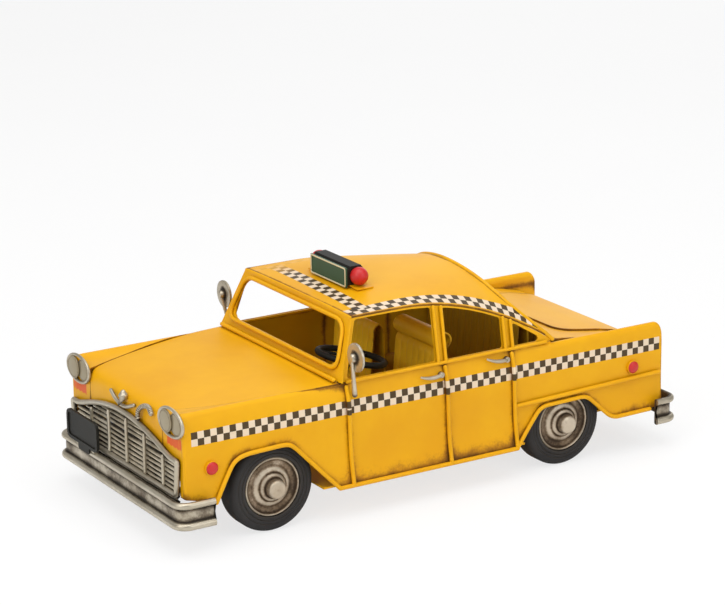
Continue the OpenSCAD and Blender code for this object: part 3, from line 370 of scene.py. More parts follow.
def grainGroup():
    # surface relief: fine grain over shallow waves of hand-beaten sheet, and a broad change of tone
    group, given, result = newGroup("fineGrain", ("Vector", "Scale"), ("Height", "Tone"))
    fine = noise(group, given["Vector"], given["Scale"], 3.0, 0.6)
    wave = noise(group, given["Vector"], 38.0, 2.0, 0.5)
    group.links.new(calc(group, "ADD", calc(group, "MULTIPLY", fine, 0.3), wave), result["Height"])
    group.links.new(ramp(group, noise(group, given["Vector"], 26.0, 4.0, 0.6), 0.25, 0.75), result["Tone"])
    return group


def checkGroup():
    # two rows of squares: U and V count squares, parity of their whole parts picks the colour
    group, given, result = newGroup("checkSquares", ("U", "V"), ("Mask", "Dark"))
    u, v = given["U"], given["V"]
    inside = calc(group, "MULTIPLY", calc(group, "GREATER_THAN", v, 0.002), calc(group, "LESS_THAN", v, 2.0))
    inside = calc(group, "MULTIPLY", inside, calc(group, "GREATER_THAN", u, 0.002))
    inside = calc(group, "MULTIPLY", inside, calc(group, "LESS_THAN", u, 80.0))
    group.links.new(inside, result["Mask"])
    whole = calc(group, "ADD", calc(group, "FLOOR", u), calc(group, "ADD", calc(group, "FLOOR", v), 1.0))
    group.links.new(calc(group, "MODULO", whole, 2.0), result["Dark"])
    return group


washAndShade, grain, checks = washAndShadeGroup(), grainGroup(), checkGroup()


def stored(tree, name):  # value kept at the points of the mesh
    return addNode(tree, "ShaderNodeAttribute", attribute_name=name).outputs["Fac"]


def grouped(tree, group, **inputs):  # outputs of a node group with these inputs
    return addNode(tree, "ShaderNodeGroup", inputs, node_tree=group).outputs


def makeMaterial(name, look):
    # two tones of the base colour, brown then black wash by the stored grime and painted shade, squares
    # where a band is stored, inner faces darkened as painted shade
    material = bpy.data.materials.new(name)
    material.use_nodes = True
    tree = material.node_tree
    shader = tree.nodes["Principled BSDF"]
    tone = {key: linear(*value) for key, value in look.items() if isinstance(value, tuple)}
    vector = addNode(tree, "ShaderNodeTexCoord").outputs["Object"]
    relief = grouped(tree, grain, Vector=vector, Scale=look["grainScale"])
    amount = calc(tree, "ADD", stored(tree, "grime"), look["grime"])
    dirt = grouped(tree, washAndShade, Vector=vector, Amount=amount)
    colour = blend(tree, relief["Tone"], tone["base"], tone["second"])
    rough = ramp(tree, dirt["Mask"], 0.0, 1.0, look["roughness"], look["roughness"] + 0.22)
    if look.get("bands"):
        kept = calc(tree, "SUBTRACT", 0.94, stored(tree, "worn"))
        for u, v in (("bandU", "bandV"), ("crossU", "crossV")):
            band = grouped(tree, checks, U=stored(tree, u), V=stored(tree, v))
            square = blend(tree, band["Dark"], tone["pale"], tone["dark"])
            colour = blend(tree, calc(tree, "MULTIPLY", band["Mask"], kept), colour, square)
        # inner faces turn to a darker olive: painted shade inside the body
        colour = blend(tree, calc(tree, "MULTIPLY", stored(tree, "inside"), 0.7), colour, tone["insideShade"])
        colour = blend(tree, calc(tree, "MULTIPLY", stored(tree, "patch"), 0.92), colour, tone["orange"])
    # brown then black over the edges and seams: grime and painted shade
    for low, high, share, over in ((0.0, 0.6, "brownWashShade", "brown"), (0.45, 1.0, "blackWashShade", "black")):
        cover = calc(tree, "MULTIPLY", ramp(tree, dirt["Mask"], low, high), look[share])
        colour = blend(tree, cover, colour, tone[over])
    colour = blend(tree, calc(tree, "MULTIPLY", dirt["Speck"], look["specks"]), colour, tone["brown"])
    bump = addNode(tree, "ShaderNodeBump",
                   {"Height": relief["Height"], "Strength": look["bump"], "Distance": 0.0006})
    tree.links.new(colour, shader.inputs["Base Color"])
    tree.links.new(rough, shader.inputs["Roughness"])
    tree.links.new(bump.outputs[0], shader.inputs["Normal"])
    for label, value in (("Metallic", look["metallic"]), ("Coat Weight", look["coat"]),
                         ("Coat Roughness", 0.12), ("Specular IOR Level", look["specular"])):
        shader.inputs[label].default_value = value
    return material


# Colours are 0-255 display values; a look lists what differs from the plain one
plainLook = {"grainScale": 900.0, "grime": 0.0, "roughness": 0.4, "brownWashShade": 0.7, "blackWashShade": 0.7,
             "specks": 0.12, "bump": 0.12, "metallic": 0.0, "coat": 0.0, "specular": 0.4,
             "brown": (96, 58, 20), "black": (34, 24, 16)}
# the inside colour is painted shade for the inner faces of the sheets
paintLook = {**plainLook, "base": (230, 170, 4), "second": (222, 158, 2), "bands": True, "specular": 0.22,
             "roughness": 0.46, "pale": (226, 208, 184), "dark": (46, 42, 38), "insideShade": (182, 138, 16),
             "brown": (138, 80, 18), "black": (70, 42, 18), "specks": 0.05, "orange": (222, 84, 30)}
looks = {
    "taxiPaint": paintLook,
    # window frames and floor pan: the body paint with more grime, darker as grime and painted shade
    "pillarPaintShaded": {**paintLook, "grime": 0.1},
    # front seats: the body paint made lighter, painted light for seats that sit in the shade of the body
    "seatPaintLit": {**paintLook, "base": (255, 212, 44), "second": (250, 196, 30), "grime": 0.02,
                  "roughness": 0.5},
    # rear seat: a darker olive copy of the seat paint, painted shade inside the body
    "rearSeatPaintShaded": {**paintLook, "base": (168, 132, 22), "second": (150, 116, 16), "roughness": 0.55},
    "pewter": {**plainLook, "base": (204, 196, 178), "second": (166, 155, 134), "metallic": 0.8,
               "roughness": 0.36, "brown": (74, 56, 38), "black": (30, 25, 20), "grime": 0.06,
               "bump": 0.3, "brownWashShade": 0.75, "blackWashShade": 0.85, "specks": 0.3},
    # grille slats: a lighter copy of the pewter as painted light on the slat fronts, with a deeper black
    # wash as painted shade in the gaps
    "grilleMetalLitShaded": {**plainLook, "base": (244, 236, 216), "second": (200, 188, 164), "metallic": 0.75,
                    "roughness": 0.38, "brown": (84, 66, 46), "black": (24, 20, 16), "bump": 0.3,
                    "specks": 0.4, "brownWashShade": 0.75, "blackWashShade": 0.9},
    "wheelMetal": {**plainLook, "base": (208, 196, 176), "second": (166, 150, 128), "metallic": 0.75,
                   "roughness": 0.42, "brown": (112, 88, 62), "black": (50, 38, 28), "grime": 0.2,
                   "bump": 0.2, "brownWashShade": 0.8, "blackWashShade": 0.85, "specks": 0.3},
    "axleSteel": {**plainLook, "base": (150, 146, 138), "second": (128, 122, 112), "metallic": 0.9,
                  "roughness": 0.42, "grime": 0.2, "bump": 0.2},
    "lampMetal": {**plainLook, "base": (164, 152, 126), "second": (146, 134, 108), "metallic": 0.45,
                  "roughness": 0.34, "brown": (120, 104, 78), "black": (60, 50, 38), "bump": 0.05},
    "tyreRubber": {**plainLook, "base": (47, 45, 44), "second": (38, 36, 36), "roughness": 0.62,
                   "brown": (72, 64, 54), "black": (16, 15, 15), "brownWashShade": 0.5, "bump": 0.35,
                   "grainScale": 1500.0, "specular": 0.3},
    "blackPaint": {**plainLook, "base": (31, 30, 24), "second": (24, 23, 19), "roughness": 0.55,
                   "specular": 0.25, "brown": (86, 74, 58), "black": (12, 11, 10), "brownWashShade": 0.4,
                   "grime": 0.05},
    "redLacquer": {**plainLook, "base": (200, 30, 30), "second": (186, 24, 24), "roughness": 0.42,
                   "coat": 0.05, "bump": 0.03, "brown": (70, 12, 10), "specks": 0.04, "specular": 0.5},
    "signGreen": {**plainLook, "base": (52, 88, 62), "second": (44, 76, 54), "roughness": 0.45,
                  "brown": (44, 52, 30), "grime": 0.06},
    "signCream": {**plainLook, "base": (222, 208, 172), "second": (208, 192, 152), "grime": 0.08},
}
finish = {name: makeMaterial(name, look) for name, look in looks.items()}
print("materials made:", len(finish))


# Light and floor
def addArea(name, place, target, size, power, colour=(1, 1, 1)):
    # square lamp at a place, its axis turned toward the target
    data = bpy.data.lights.new(name, "AREA")
    data.shape, data.size, data.energy, data.color = "SQUARE", size, power, colour
    lamp = bpy.data.objects.new(name, data)
    back = unit(np.array(place) - np.array(target))
    side = unit(np.cross([0.0, 0.0, 1.0] if abs(back[2]) < 0.98 else [0.0, 1.0, 0.0], back))
    turn = Matrix(np.column_stack([side, np.cross(back, side), back]).tolist()).to_4x4()
    lamp.matrix_world = Matrix.Translation(place) @ turn
    bpy.context.scene.collection.objects.link(lamp)


addArea("topSoftbox", (0.15, 0.25, 1.5), (0, 0, 0.05), 1.5, 17.2)
addArea("frontKey", (1.35, 0.55, 0.95), (0.05, 0, 0.05), 0.9, 7.6, (1.0, 0.98, 0.95))
addArea("sideFill", (-0.5, 1.5, 0.8), (0, 0, 0.05), 1.0, 6.2)
addArea("rearGlow", (-1.5, -1.5, 0.75), (-0.05, 0, 0.08), 1.5, 7.0)

backdrop = {"ambient": 0.42, "floorWhite": 0.74, "floorHalf": 3.0}


def makeWorld():
    # white all round: full strength where the camera sees it, weaker as light on the object
    world = bpy.data.worlds.new("whiteStudio")
    world.use_nodes = True
    bpy.context.scene.world = world
    tree = world.node_tree
    path = addNode(tree, "ShaderNodeLightPath").outputs
    seen = calc(tree, "MAXIMUM", path["Is Camera Ray"], path["Is Transmission Ray"])
    level = ramp(tree, seen, 0.0, 1.0, backdrop["ambient"], 1.0)
    tree.links.new(level, tree.nodes["Background"].inputs["Strength"])
    tree.nodes["Background"].inputs["Color"].default_value = (1, 1, 1, 1)


def makeFloor():
    # matt white sheet; camera rays see it mixed with plain white, so it stays white and keeps the shadow
    material = bpy.data.materials.new("paleFloor")
    material.use_nodes = True
    tree = material.node_tree
    shader = tree.nodes["Principled BSDF"]
    vector = addNode(tree, "ShaderNodeTexCoord").outputs["Object"]
    tone = blend(tree, noise(tree, vector, 5.0), linear(240, 240, 240), linear(246, 246, 246))
    tree.links.new(tone, shader.inputs["Base Color"])
    shader.inputs["Roughness"].default_value = 0.9
    glow = addNode(tree, "ShaderNodeEmission", {"Color": (1, 1, 1, 1), "Strength": 1.0})
    seen = addNode(tree, "ShaderNodeLightPath").outputs["Is Camera Ray"]
    mix = addNode(tree, "ShaderNodeMixShader", {0: calc(tree, "MULTIPLY", seen, backdrop["floorWhite"]),
                                                1: shader.outputs[0], 2: glow.outputs[0]})
    tree.links.new(mix.outputs[0], tree.nodes["Material Output"].inputs["Surface"])
    half = backdrop["floorHalf"]
    corners = [(-half, -half, 0), (half, -half, 0), (half, half, 0), (-half, half, 0)]
    mesh = bpy.data.meshes.new("studioFloor")
    mesh.from_pydata(corners, [], [(0, 1, 2, 3)])
    mesh.materials.append(material)
    floor = bpy.data.objects.new("studioFloor", mesh)
    bpy.context.scene.collection.objects.link(floor)


makeWorld()
makeFloor()
bpy.context.scene.view_settings.view_transform = "Standard"
print("light and floor set")
# Body lines in millimetres, shared by the panels
body = {"sheet": 0.8, "sill": 16.9, "flare": 30.0, "lean": 59.0, "belt": 68.3, "half": 59.6,
        "beltHalf": 57.0, "cowlX": 52.7, "noseHalf": 38.6, "seams": (49.1, -7.8, -47.6), "slant": 1.4,
        "sillFlare": 1.9,
        "frontLow": 27.2, "rearLow": 22.0, "pillarX": -71.8, "wire": 1.1, "seamGap": 0.06, "seamSlack": 0.4,
        "frontX": nodeBox("left_front_fender")[1][0], "tailX": nodeBox("left_rear_quarter")[0][0]}
band = {"top": 59.6, "square": 3.43, "frontX": 135.2}
frontWheelX = sum(nodeBox("left_front_tyre"))[0] / 2
rearWheelX = sum(nodeBox("left_rear_tyre"))[0] / 2
sillCorners = [(body["half"] + body["sillFlare"], body["sill"]), (body["half"], body["flare"])]
sideCorners = [*sillCorners, (body["half"], body["lean"]), (body["beltHalf"], body["belt"])]
sidePath = arcPath(sideCorners, (0, 9, 6, 0), 8)


def sideY(z):  # half width of the side section at a height
    return np.interp(z, sidePath[:, 1], sidePath[:, 0])


def seamX(x, z):  # door seam through x at mid height, leaning by the slant over the whole side
    middle = (body["sill"] + body["belt"]) / 2
    return x + body["slant"] * (z - middle) / (body["belt"] - body["sill"])


def grooveY(x):  # line between hood and fender: drawn in by the square of the distance from the cowl
    rear = body["beltHalf"] + body["seamSlack"]
    return rear - (rear - body["noseHalf"]) * ((x - body["cowlX"]) / (body["frontX"] - body["cowlX"])) ** 2


def sideBand(points):  # squares counted back from the front end and down from the top of the band
    return {"bandU": (band["frontX"] - points[..., 0]) / band["square"],
            "bandV": (band["top"] - points[..., 2]) / band["square"]}


def panel(grid, dirt, flip=True, **values):  # body sheet with its grime and painted shade held between 0 and 1
    dirt = np.broadcast_to(np.clip(dirt, 0, 1), grid.shape[:2])
    return sheetPart(grid, body["sheet"], {"grime": dirt, **values}, flip)


def bothSides(stem, node, parts, **settings):  # one piece for the left and its mirror image for the right
    makePiece("left" + stem, parts, "left_" + node, **settings)
    makePiece("right" + stem, [mirrored(p) for p in parts], "right_" + node, **settings)


def doorParts(front, rear):
    # ruled between the two leaning seams, following the side section upward
    z = np.linspace(body["sill"], body["belt"], 56)[:, None]
    x0, x1 = seamX(rear, z) + body["seamGap"], seamX(front, z) - body["seamGap"]
    x = x0 + (x1 - x0) * np.linspace(0, 1, 48)
    grid = spaced(x, sideY(z), z)
    # darker along both seams, the sill and the belt: grime and painted shade beside the seams and wires
    dirt = (0.75 * near(np.minimum(x - x0, x1 - x), 2.2) + 0.85 * near(z - body["sill"], 5.0)
            + 0.4 * near(body["belt"] - z, 1.4))
    return [panel(grid, dirt, False, **sideBand(grid))]


bothSides("FrontDoor", "front_door", doorParts(*body["seams"][:2]))
bothSides("RearDoor", "rear_door", doorParts(*body["seams"][1:]))
print("doors made")

fender = {"cornerR": 1.2, "topR": 1.6, "bevelFoot": 55, "bevelHeight": 13, "seamInset": 0.7, "seamReach": 6,
          "crest": ((57.3, 67.4), (55.8, 68.5), (54.0, 68.1), (48.0, 66.3), (41.0, 65.8), (35.6, 65.6)),
          "crestR": (0, 9, 6, 1, 1, 1, 3, 3, 0), "stripY": 55.2, "patchZ": (50.6, 56.4), "patchY": 43,
          "arch": ((-34.2, 16.9), (-9.7, 42.8), (-5.9, 44.7), (17.1, 44.0), (23.1, 41.7), (33.3, 23.4),
                   (49.0, 27.2))}
grille = {"half": 56.0, "low": 28.0, "end": 45.4, "rise": 9.2, "shoulder": 6.0, "power": 1.2, "lap": 0.5}


def grilleTop(y):  # moustache line: level ends and a rise in the middle
    bow = np.clip(1 - (y / (grille["half"] - grille["shoulder"])) ** 2, 0, 1)
    return grille["end"] + grille["rise"] * bow ** grille["power"]


def fenderParts():
    # side section carried forward; near the front it draws in by a quarter circle in plan and in height
    path = arcPath(sillCorners + [(body["half"], body["lean"]), *fender["crest"]], fender["crestR"], 8)
    arch = np.array(fender["arch"]) + [frontWheelX, 0]
    corner = fender["topR"] * (1 - np.sin(np.linspace(0, np.pi / 2, 10)))
    x = np.concatenate([np.linspace(body["seams"][0] + 0.8, body["frontX"] - 5, 72), arch[:, 0],
                        body["frontX"] - corner])
    x = np.unique(x)[:, None]
    low = np.interp(x, arch[:, 0], arch[:, 1], left=body["sill"], right=body["frontLow"])
    inner = grooveY(x)
    over = path[:, 0] < body["beltHalf"]
    end = np.interp(-inner - body["seamGap"], -path[over, 0], lengthAlong(path)[over])
    y, z = carried(path, low[:, 0], end[:, 0], 84)
    # darker at the arch edge, along the hood groove near the cowl, at the door seam and the front: grime and
    # painted shade in the groove and seams
    dirt = (0.65 * near((z - low) * 0.8, 3.0) + 0.65 * near(y - inner, 0.45) * (z > 64)
            + 0.8 * near(x - seamX(body["seams"][0], z), 2.4) + 0.1 * near(x - body["frontX"], 2.0))
    drawnIn = arcDrop(x - (body["frontX"] - fender["cornerR"]), fender["cornerR"])
    drawnDown = arcDrop(x - (body["frontX"] - fender["topR"]), fender["topR"])
    y = y - drawnIn * np.clip((y - inner) / (body["half"] - inner), 0, 1)
    z = z - drawnDown * np.clip((z - fender["bevelFoot"]) / fender["bevelHeight"], 0, 1)
    fade = np.clip(1 - (x - x[0]) / fender["seamReach"], 0, 1)
    lean = np.clip(seamX(body["seams"][0], z) - body["seams"][0], -1, 1) * fade
    side = spaced(x + lean - fender["seamInset"] * fade, y, z)
    parts = [panel(side, dirt, **sideBand(side))]
    # front face: a flat patch from the hood line to the corner, between the grille line and the rolled top
    y = np.linspace(body["noseHalf"] + body["seamGap"], body["half"] - fender["cornerR"], 48)[:, None]
    foot = np.where(y > fender["stripY"], body["frontLow"], grilleTop(y) - grille["lap"])
    top = np.interp(y, side[-1, ::-1, 1], side[-1, ::-1, 2])
    z = foot + (top - foot) * np.linspace(0, 1, 64)
    # darker at the foot of the front face and along the hood line: grime and painted shade
    dirt = 0.6 * near(z - foot, 1.2) + 0.7 * near(y - body["noseHalf"], 0.8)
    # orange patch with wavy edges, fading over half a millimetre
    wavy = 0.25 * np.sin(y * 1.7) + 0.1 * np.sin(y * 3.1 + 1)
    low, high = fender["patchZ"]
    patch = np.clip((z - low - wavy) * 2, 0, 1) * np.clip((high + 0.6 * wavy - z) * 2, 0, 1)
    patch = patch * np.clip((y - fender["patchY"]) * 2, 0, 1)
    return parts + [panel(spaced(body["frontX"], y, z), dirt, False, patch=patch)]


bothSides("FrontFender", "front_fender", fenderParts())
print("front fenders made")

quarter = {"fin": ((59.2, 65.2), (58.4, 66.8), (57.3, 67.4), (55.8, 67.0), (54.6, 65.6), (54.6, 50.0)),
           "finR": (0, 9, 6, 1, 1, 0.8, 0.8, 1, 0), "finTop": 67.4, "finIn": 54.6, "shoulder": 60.5,
           "deckZ": 61, "insideY": 55.4, "rollFoot": 52, "cornerR": 4.0, "capSide": 0.35, "capBack": 0.03,
           "arch": ((-60.2, 22), (-48, 22), (-27.2, 21.7), (-11.6, 36.3), (16.8, 35.8), (32.7, 16.9))}


def quarterParts():
    # behind the pillar the section folds over the fin and down its inside; the tail rolls down and is capped
    arch = np.array(quarter["arch"]) + [rearWheelX, 0]
    corners = [*sillCorners, (body["half"], quarter["shoulder"]), *quarter["fin"]]
    finPath = arcPath(corners, quarter["finR"], 8)
    rise, seam, corner = climb(finPath), body["seams"][2], quarter["cornerR"]
    parts = []
    for path, x0, x1 in ((finPath, body["tailX"], body["pillarX"]), (sidePath, body["pillarX"], seam)):
        x = np.concatenate([np.linspace(x0, x1, 64), arch[(arch[:, 0] > x0) & (arch[:, 0] < x1), 0],
                            x0 + corner * (1 - np.cos(np.linspace(0, np.pi / 2, 8)))])
        x = np.unique(x)[:, None]
        low = np.interp(x, arch[:, 0], arch[:, 1])
        y, z = carried(path, low[:, 0], lengthAlong(path)[-1], 80)
        # darker at the arch edge, where the fin meets the deck, at the tail, the seam and the belt: grime
        # and painted shade
        dirt = 0.7 * near((z - low) * 0.8, 3.0)
        if path is finPath:
            dirt = dirt + (0.8 * near(z - quarter["deckZ"], 2.0) * (y < quarter["insideY"])
                           + 0.5 * near(x - body["tailX"], 1.6))
            height = np.clip((z - quarter["rollFoot"]) / (quarter["finTop"] - quarter["rollFoot"]), 0, 1)
            z = z - arcDrop(body["tailX"] + corner - x, corner) * height
        else:
            share = np.clip((x - x0) / (x1 - x0), 0, 1)
            y = y + (np.interp(z, finPath[rise, 1], finPath[rise, 0]) - y) * (1 - share) ** 2
            x = x + (seamX(seam, z) - seam - body["seamGap"]) * share
            dirt = dirt + 0.8 * near(x - seamX(seam, z), 2.2) + 0.6 * near(body["belt"] - z, 1.4)
        side = spaced(x, y, z)
        squares = sideBand(side)
        squares["bandV"] = np.where(np.arange(80) > np.argmax(z, 1)[:, None], -1, squares["bandV"])
        parts.append(panel(side, dirt, **squares))
    rim = parts[0][0][79::-1]
    top = np.argmax(rim[:, 2])
    z = np.linspace(body["rearLow"], rim[top, 2] - 0.05, 30)[:, None]
    outer = np.interp(z, rim[:top + 1, 2], rim[:top + 1, 1])
    inner = np.interp(z, rim[:top - 1:-1, 2], rim[:top - 1:-1, 1], left=quarter["finIn"])
    y = inner + quarter["capSide"] + (outer - inner - 2 * quarter["capSide"]) * np.linspace(0, 1, 10)
    # cap darker at its foot and along both edges: grime and painted shade
    dirt = 0.7 * near(z - body["rearLow"], 4.0) + 0.4 * near(outer - y, 1.2) + 0.4 * near(y - inner, 1.2)
    return parts + [panel(spaced(body["tailX"] + quarter["capBack"], y, z), dirt, False)]


bothSides("RearQuarter", "rear_quarter", quarterParts())
print("rear quarters made")

nose = {"path": ((139.5, 41.4), (139.5, 58.0), (139.0, 61.7), (137.2, 64.3), (134.0, 65.3), (127.5, 65.8),
                 (111.5, 66.4), (94.5, 67.2), (74.5, 68.1), (53.1, 68.5)),
        "crown": 0.4, "crownFrom": 8, "crownReach": 20}
nosePath = arcPath(nose["path"], 3.0, 6) + [body["frontX"] - nose["path"][0][0], 0]
noseLength = lengthAlong(nosePath)


def hoodParts():
    # nose profile from the grille line back to the cowl, ruled across between the grooves, slightly crowned
    v, rise = bunched(81), climb(nosePath)
    startZ = grilleTop(v * body["noseHalf"]) - grille["lap"]
    s0 = np.interp(startZ, nosePath[rise, 1], noseLength[rise])
    t = np.concatenate([np.linspace(0, 0.34, 44), np.linspace(0.355, 1, 44)])[:, None]
    s = s0 + (noseLength[-1] - s0) * t
    x = np.interp(s, noseLength, nosePath[:, 0])
    edge = grooveY(x) - body["seamGap"]
    crown = np.clip((body["frontX"] - nose["crownFrom"] - x) / nose["crownReach"], 0, 1)
    z = np.interp(s, noseLength, nosePath[:, 1]) + nose["crown"] * (1 - v ** 2) * crown
    # darker along the grooves, at the cowl and at the grille line: grime and painted shade
    dirt = (0.65 * near(edge * (1 - np.abs(v)), 0.45) + 0.5 * near(x - body["cowlX"], 2.0)
            + 0.6 * near(s - s0, 1.2))
    return [panel(spaced(x, v * edge, z), dirt)]


roof = {"edge": 99.0, "fallX": 14.2, "foot": 70.2, "crown": 103.2, "crownX": -29.8, "fall": 0.0007,
        "flat": 1.6, "half": 51.6, "headerX": 42.0, "rimX": -43.8, "bow": 12.0, "turn": 12.0, "lap": 0.4,
        "square": (3.6, 3.9), "margin": 1.4, "strip": 3.85, "stripY": 45, "stripFrom": 5.2,
        "stripTurn": 0.03, "stripPivot": 50, "wornY": 26, "wornReach": 22, "wornMost": 0.94,
        "wireBack": 1.3, "wireDrop": 0.35,
        "lip": ((1.25, -2.4), (1.15, -1.1), (0.95, -0.45), (0.6, -0.1))}
sideLean = math.atan((body["beltHalf"] - roof["half"]) / (roof["edge"] - body["belt"]))


def roofEdge(x):  # height of the side edge: level in front, then falling by the square to the pillar's foot
    back = np.clip(roof["fallX"] - x, 0, None) / (roof["fallX"] - body["pillarX"])
    return roof["edge"] - (roof["edge"] - roof["foot"]) * back ** 2


def roofPoints(s, v):
    # rows from the header to the bowed rear rim; arched between the two falling side edges
    pillar = roof["rimX"] - roof["bow"] - body["pillarX"]
    rim = roof["rimX"] - roof["bow"] * v ** 2 - pillar * np.abs(v) ** roof["turn"]
    x = roof["headerX"] + s * (rim - roof["headerX"])
    edgeZ = roofEdge(x)
    y = v * (body["beltHalf"] - (edgeZ - body["belt"]) * math.tan(sideLean))
    crown = roof["crown"] - roof["fall"] * (x - roof["crownX"]) ** 2
    power = 2 + roof["flat"] * np.clip((x - roof["rimX"]) / (roof["fallX"] - roof["rimX"]), 0, 1)
    z = edgeZ + (crown - edgeZ) * (1 - np.abs(v) ** power)
    return spaced(x, y + np.sign(v) * roof["lap"] * np.abs(v) ** 4, z)


def roofParts():
    # every point is measured from the side edge, the header and the rim; bands count squares in these
    grid = roofPoints(np.linspace(0, 1, 84)[:, None], bunched(91))
    shape = grid.shape[:2]
    edge = roofPoints(np.linspace(0, 1, 400), np.ones(400))
    tangent = unit(np.gradient(edge, axis=0))
    x, y, z = (grid[..., k].ravel() for k in range(3))
    folded = spaced(x, np.abs(y), z)
    closest = np.argmin(((folded[:, None] - edge) ** 2).sum(2), 1)
    away = folded - edge[closest]
    ahead = (away * tangent[closest]).sum(1)
    toEdge = np.linalg.norm(away - ahead[:, None] * tangent[closest], axis=1).reshape(shape)
    edgeRun = (lengthAlong(edge)[closest] + ahead).reshape(shape)
    run = np.linalg.norm(np.diff(grid, axis=0), axis=2)
    fromHeader = np.concatenate([np.zeros((1, shape[1])), np.cumsum(run, 0)])
    toRim = fromHeader[-1:] - fromHeader
    x, y = x.reshape(shape), y.reshape(shape)
    fromStrip = fromHeader - roof["stripFrom"] - (roof["stripPivot"] - y) * roof["stripTurn"]
    farSide = np.clip((-y - roof["wornY"]) / roof["wornReach"], 0, roof["wornMost"])
    # darker along the side edges, the header and the rim: grime and painted shade
    values = {"dirt": 0.7 * near(toEdge, 1.2) + 0.7 * near(fromHeader, 1.2) + 0.7 * near(toRim, 1.4),
              "bandU": edgeRun / roof["square"][0] + 0.01,
              "bandV": (toEdge - roof["margin"]) / roof["square"][1],
              "worn": farSide * np.clip(x / roof["wornReach"] + 1, 0, 1),
              "crossU": (roof["stripY"] - y) / roof["strip"], "crossV": fromStrip / roof["strip"]}
    # rolled lip ahead of the header; it carries no band
    lip = np.array(roof["lip"])[:, None]
    rolled = grid[0] + spaced(lip[..., 0], 0, lip[..., 1])
    onLip = {"dirt": 0.1, "bandV": 99.0}
    values = {k: np.concatenate([np.full(rolled.shape[:2], onLip.get(k, -9.0)), q])
              for k, q in values.items()}
    return [panel(np.concatenate([rolled, grid]), **values)]


def rimWireParts():
    # wire behind the rear rim, set off along the direction in which the sheet runs out
    v = bunched(90)
    edge = roofPoints(1.0, v)
    path = edge + unit(edge - roofPoints(0.98, v)) * roof["wireBack"] - [0, 0, roof["wireDrop"]]
    return [tubePart(resampled(path, 90), body["wire"], (1, 0, 0.01), grime=0.25)]


deck = {"path": ((-72.8, 68.4), (-85.4, 66.8), (-104.4, 63.6), (-115.4, 62.0), (-128.9, 59.0),
                 (-134.9, 55.6), (-139.9, 51.8), (-140.5, 50.75)), "half": 54.48, "tailTop": 50.7}
lid = {"half": 40.0, "front": -88.8, "rear": -137.8, "r": 8.0, "lift": 0.95, "step": 0.6}
deckPath = arcPath(deck["path"], 3.0, 5)


def deckSurface(x, y, lift):  # deck profile at x, ruled across and moved up by the lift
    return spaced(x, y, np.interp(x, deckPath[::-1, 0], deckPath[::-1, 1]) + lift)


def deckParts():
    # profile carried across; grime and painted shade follow the rounded outline of the lid and the edges
    x = resampled(deckPath, 110)[:, :1]
    y = deck["half"] * np.linspace(-1, 1, 151)
    fore = np.maximum(x - lid["front"], lid["rear"] - x) + lid["r"]
    wide = np.abs(y) - lid["half"] + lid["r"]
    corner = np.hypot(np.clip(fore, 0, None), np.clip(wide, 0, None))
    toLid = np.minimum(np.maximum(fore, wide), 0) + corner - lid["r"]
    dirt = (0.75 * near(deck["half"] - np.abs(y), 2.4) + 0.8 * near(toLid, 1.2)
            + 0.6 * near(x - deck["path"][0][0], 2.0))
    return [panel(deckSurface(x, y, 0), dirt)]


def lidParts():
    # rounded plate on the deck: its half width follows a quarter circle at each end
    front, rear, r = lid["front"], lid["rear"], lid["r"]
    ends = r * (1 - np.cos(np.linspace(0, np.pi / 2, 10)))
    straight = np.linspace(front - r - lid["step"], rear + r + lid["step"], 44)
    x = np.concatenate([front - ends, straight, rear + ends[::-1]])[:, None]
    end = np.minimum(front - x, x - rear)
    half = lid["half"] - arcDrop(r - end, r)
    v = np.linspace(-1, 1, 61)
    # darker round the lid's edge: grime and painted shade
    dirt = 0.7 * near(half * (1 - np.abs(v)), 1.0) + 0.7 * near(end, 1.0)
    return [panel(deckSurface(x, half * v, lid["lift"]), dirt)]


def tailParts():
    # flat sheet across the tail, darker along its foot, its top and both sides: grime and painted shade
    y = np.linspace(-deck["half"], deck["half"], 80)[:, None]
    z = np.linspace(body["rearLow"], deck["tailTop"], 24)
    dirt = (0.8 * near(z - body["rearLow"], 3.0) + 0.6 * near(z - deck["tailTop"], 1.2)
            + 0.6 * near(deck["half"] - np.abs(y), 1.6))
    return [panel(spaced(body["tailX"], y, z), dirt)]


for name, parts, node in (("hoodSheet", hoodParts, "hood"), ("roofSheet", roofParts, "roof"),
                          ("roofRimWire", rimWireParts, "roof_rim_wire"),
                          ("rearDeck", deckParts, "rear_deck"), ("trunkLid", lidParts, "trunk_lid"),
                          ("tailPanel", tailParts, "tail_panel")):
    makePiece(name, parts(), node)
print("hood, roof and tail made")


def wireTube(path, radius, up, closed=False, sides=14):
    # wire darkened in the corners against the sheet, opposite to the outward direction: painted shade in the
    # crevice, with some grime all round
    dirt = 0.12 + 0.75 * np.clip(0.25 - np.sin(turns(sides)), 0, 1)
    return tubePart(path, radius, up, sides, closed, grime=dirt[None], **sideBand(path))


def onSide(outline):  # (X, Z) line laid on the side panels, a wire radius proud
    x, z = outline.T
    return spaced(x, sideY(z) + body["wire"] + 0.05, z)


sideWire = {"heights": (16.9, 30.0, 45.0, 59.0, 66.3), "archStart": (-51.2, 22.0), "cornerR": 4.0,
            "step": 1.4, "rail": ((-49.6, 38.8), (-138.4, 40.9))}


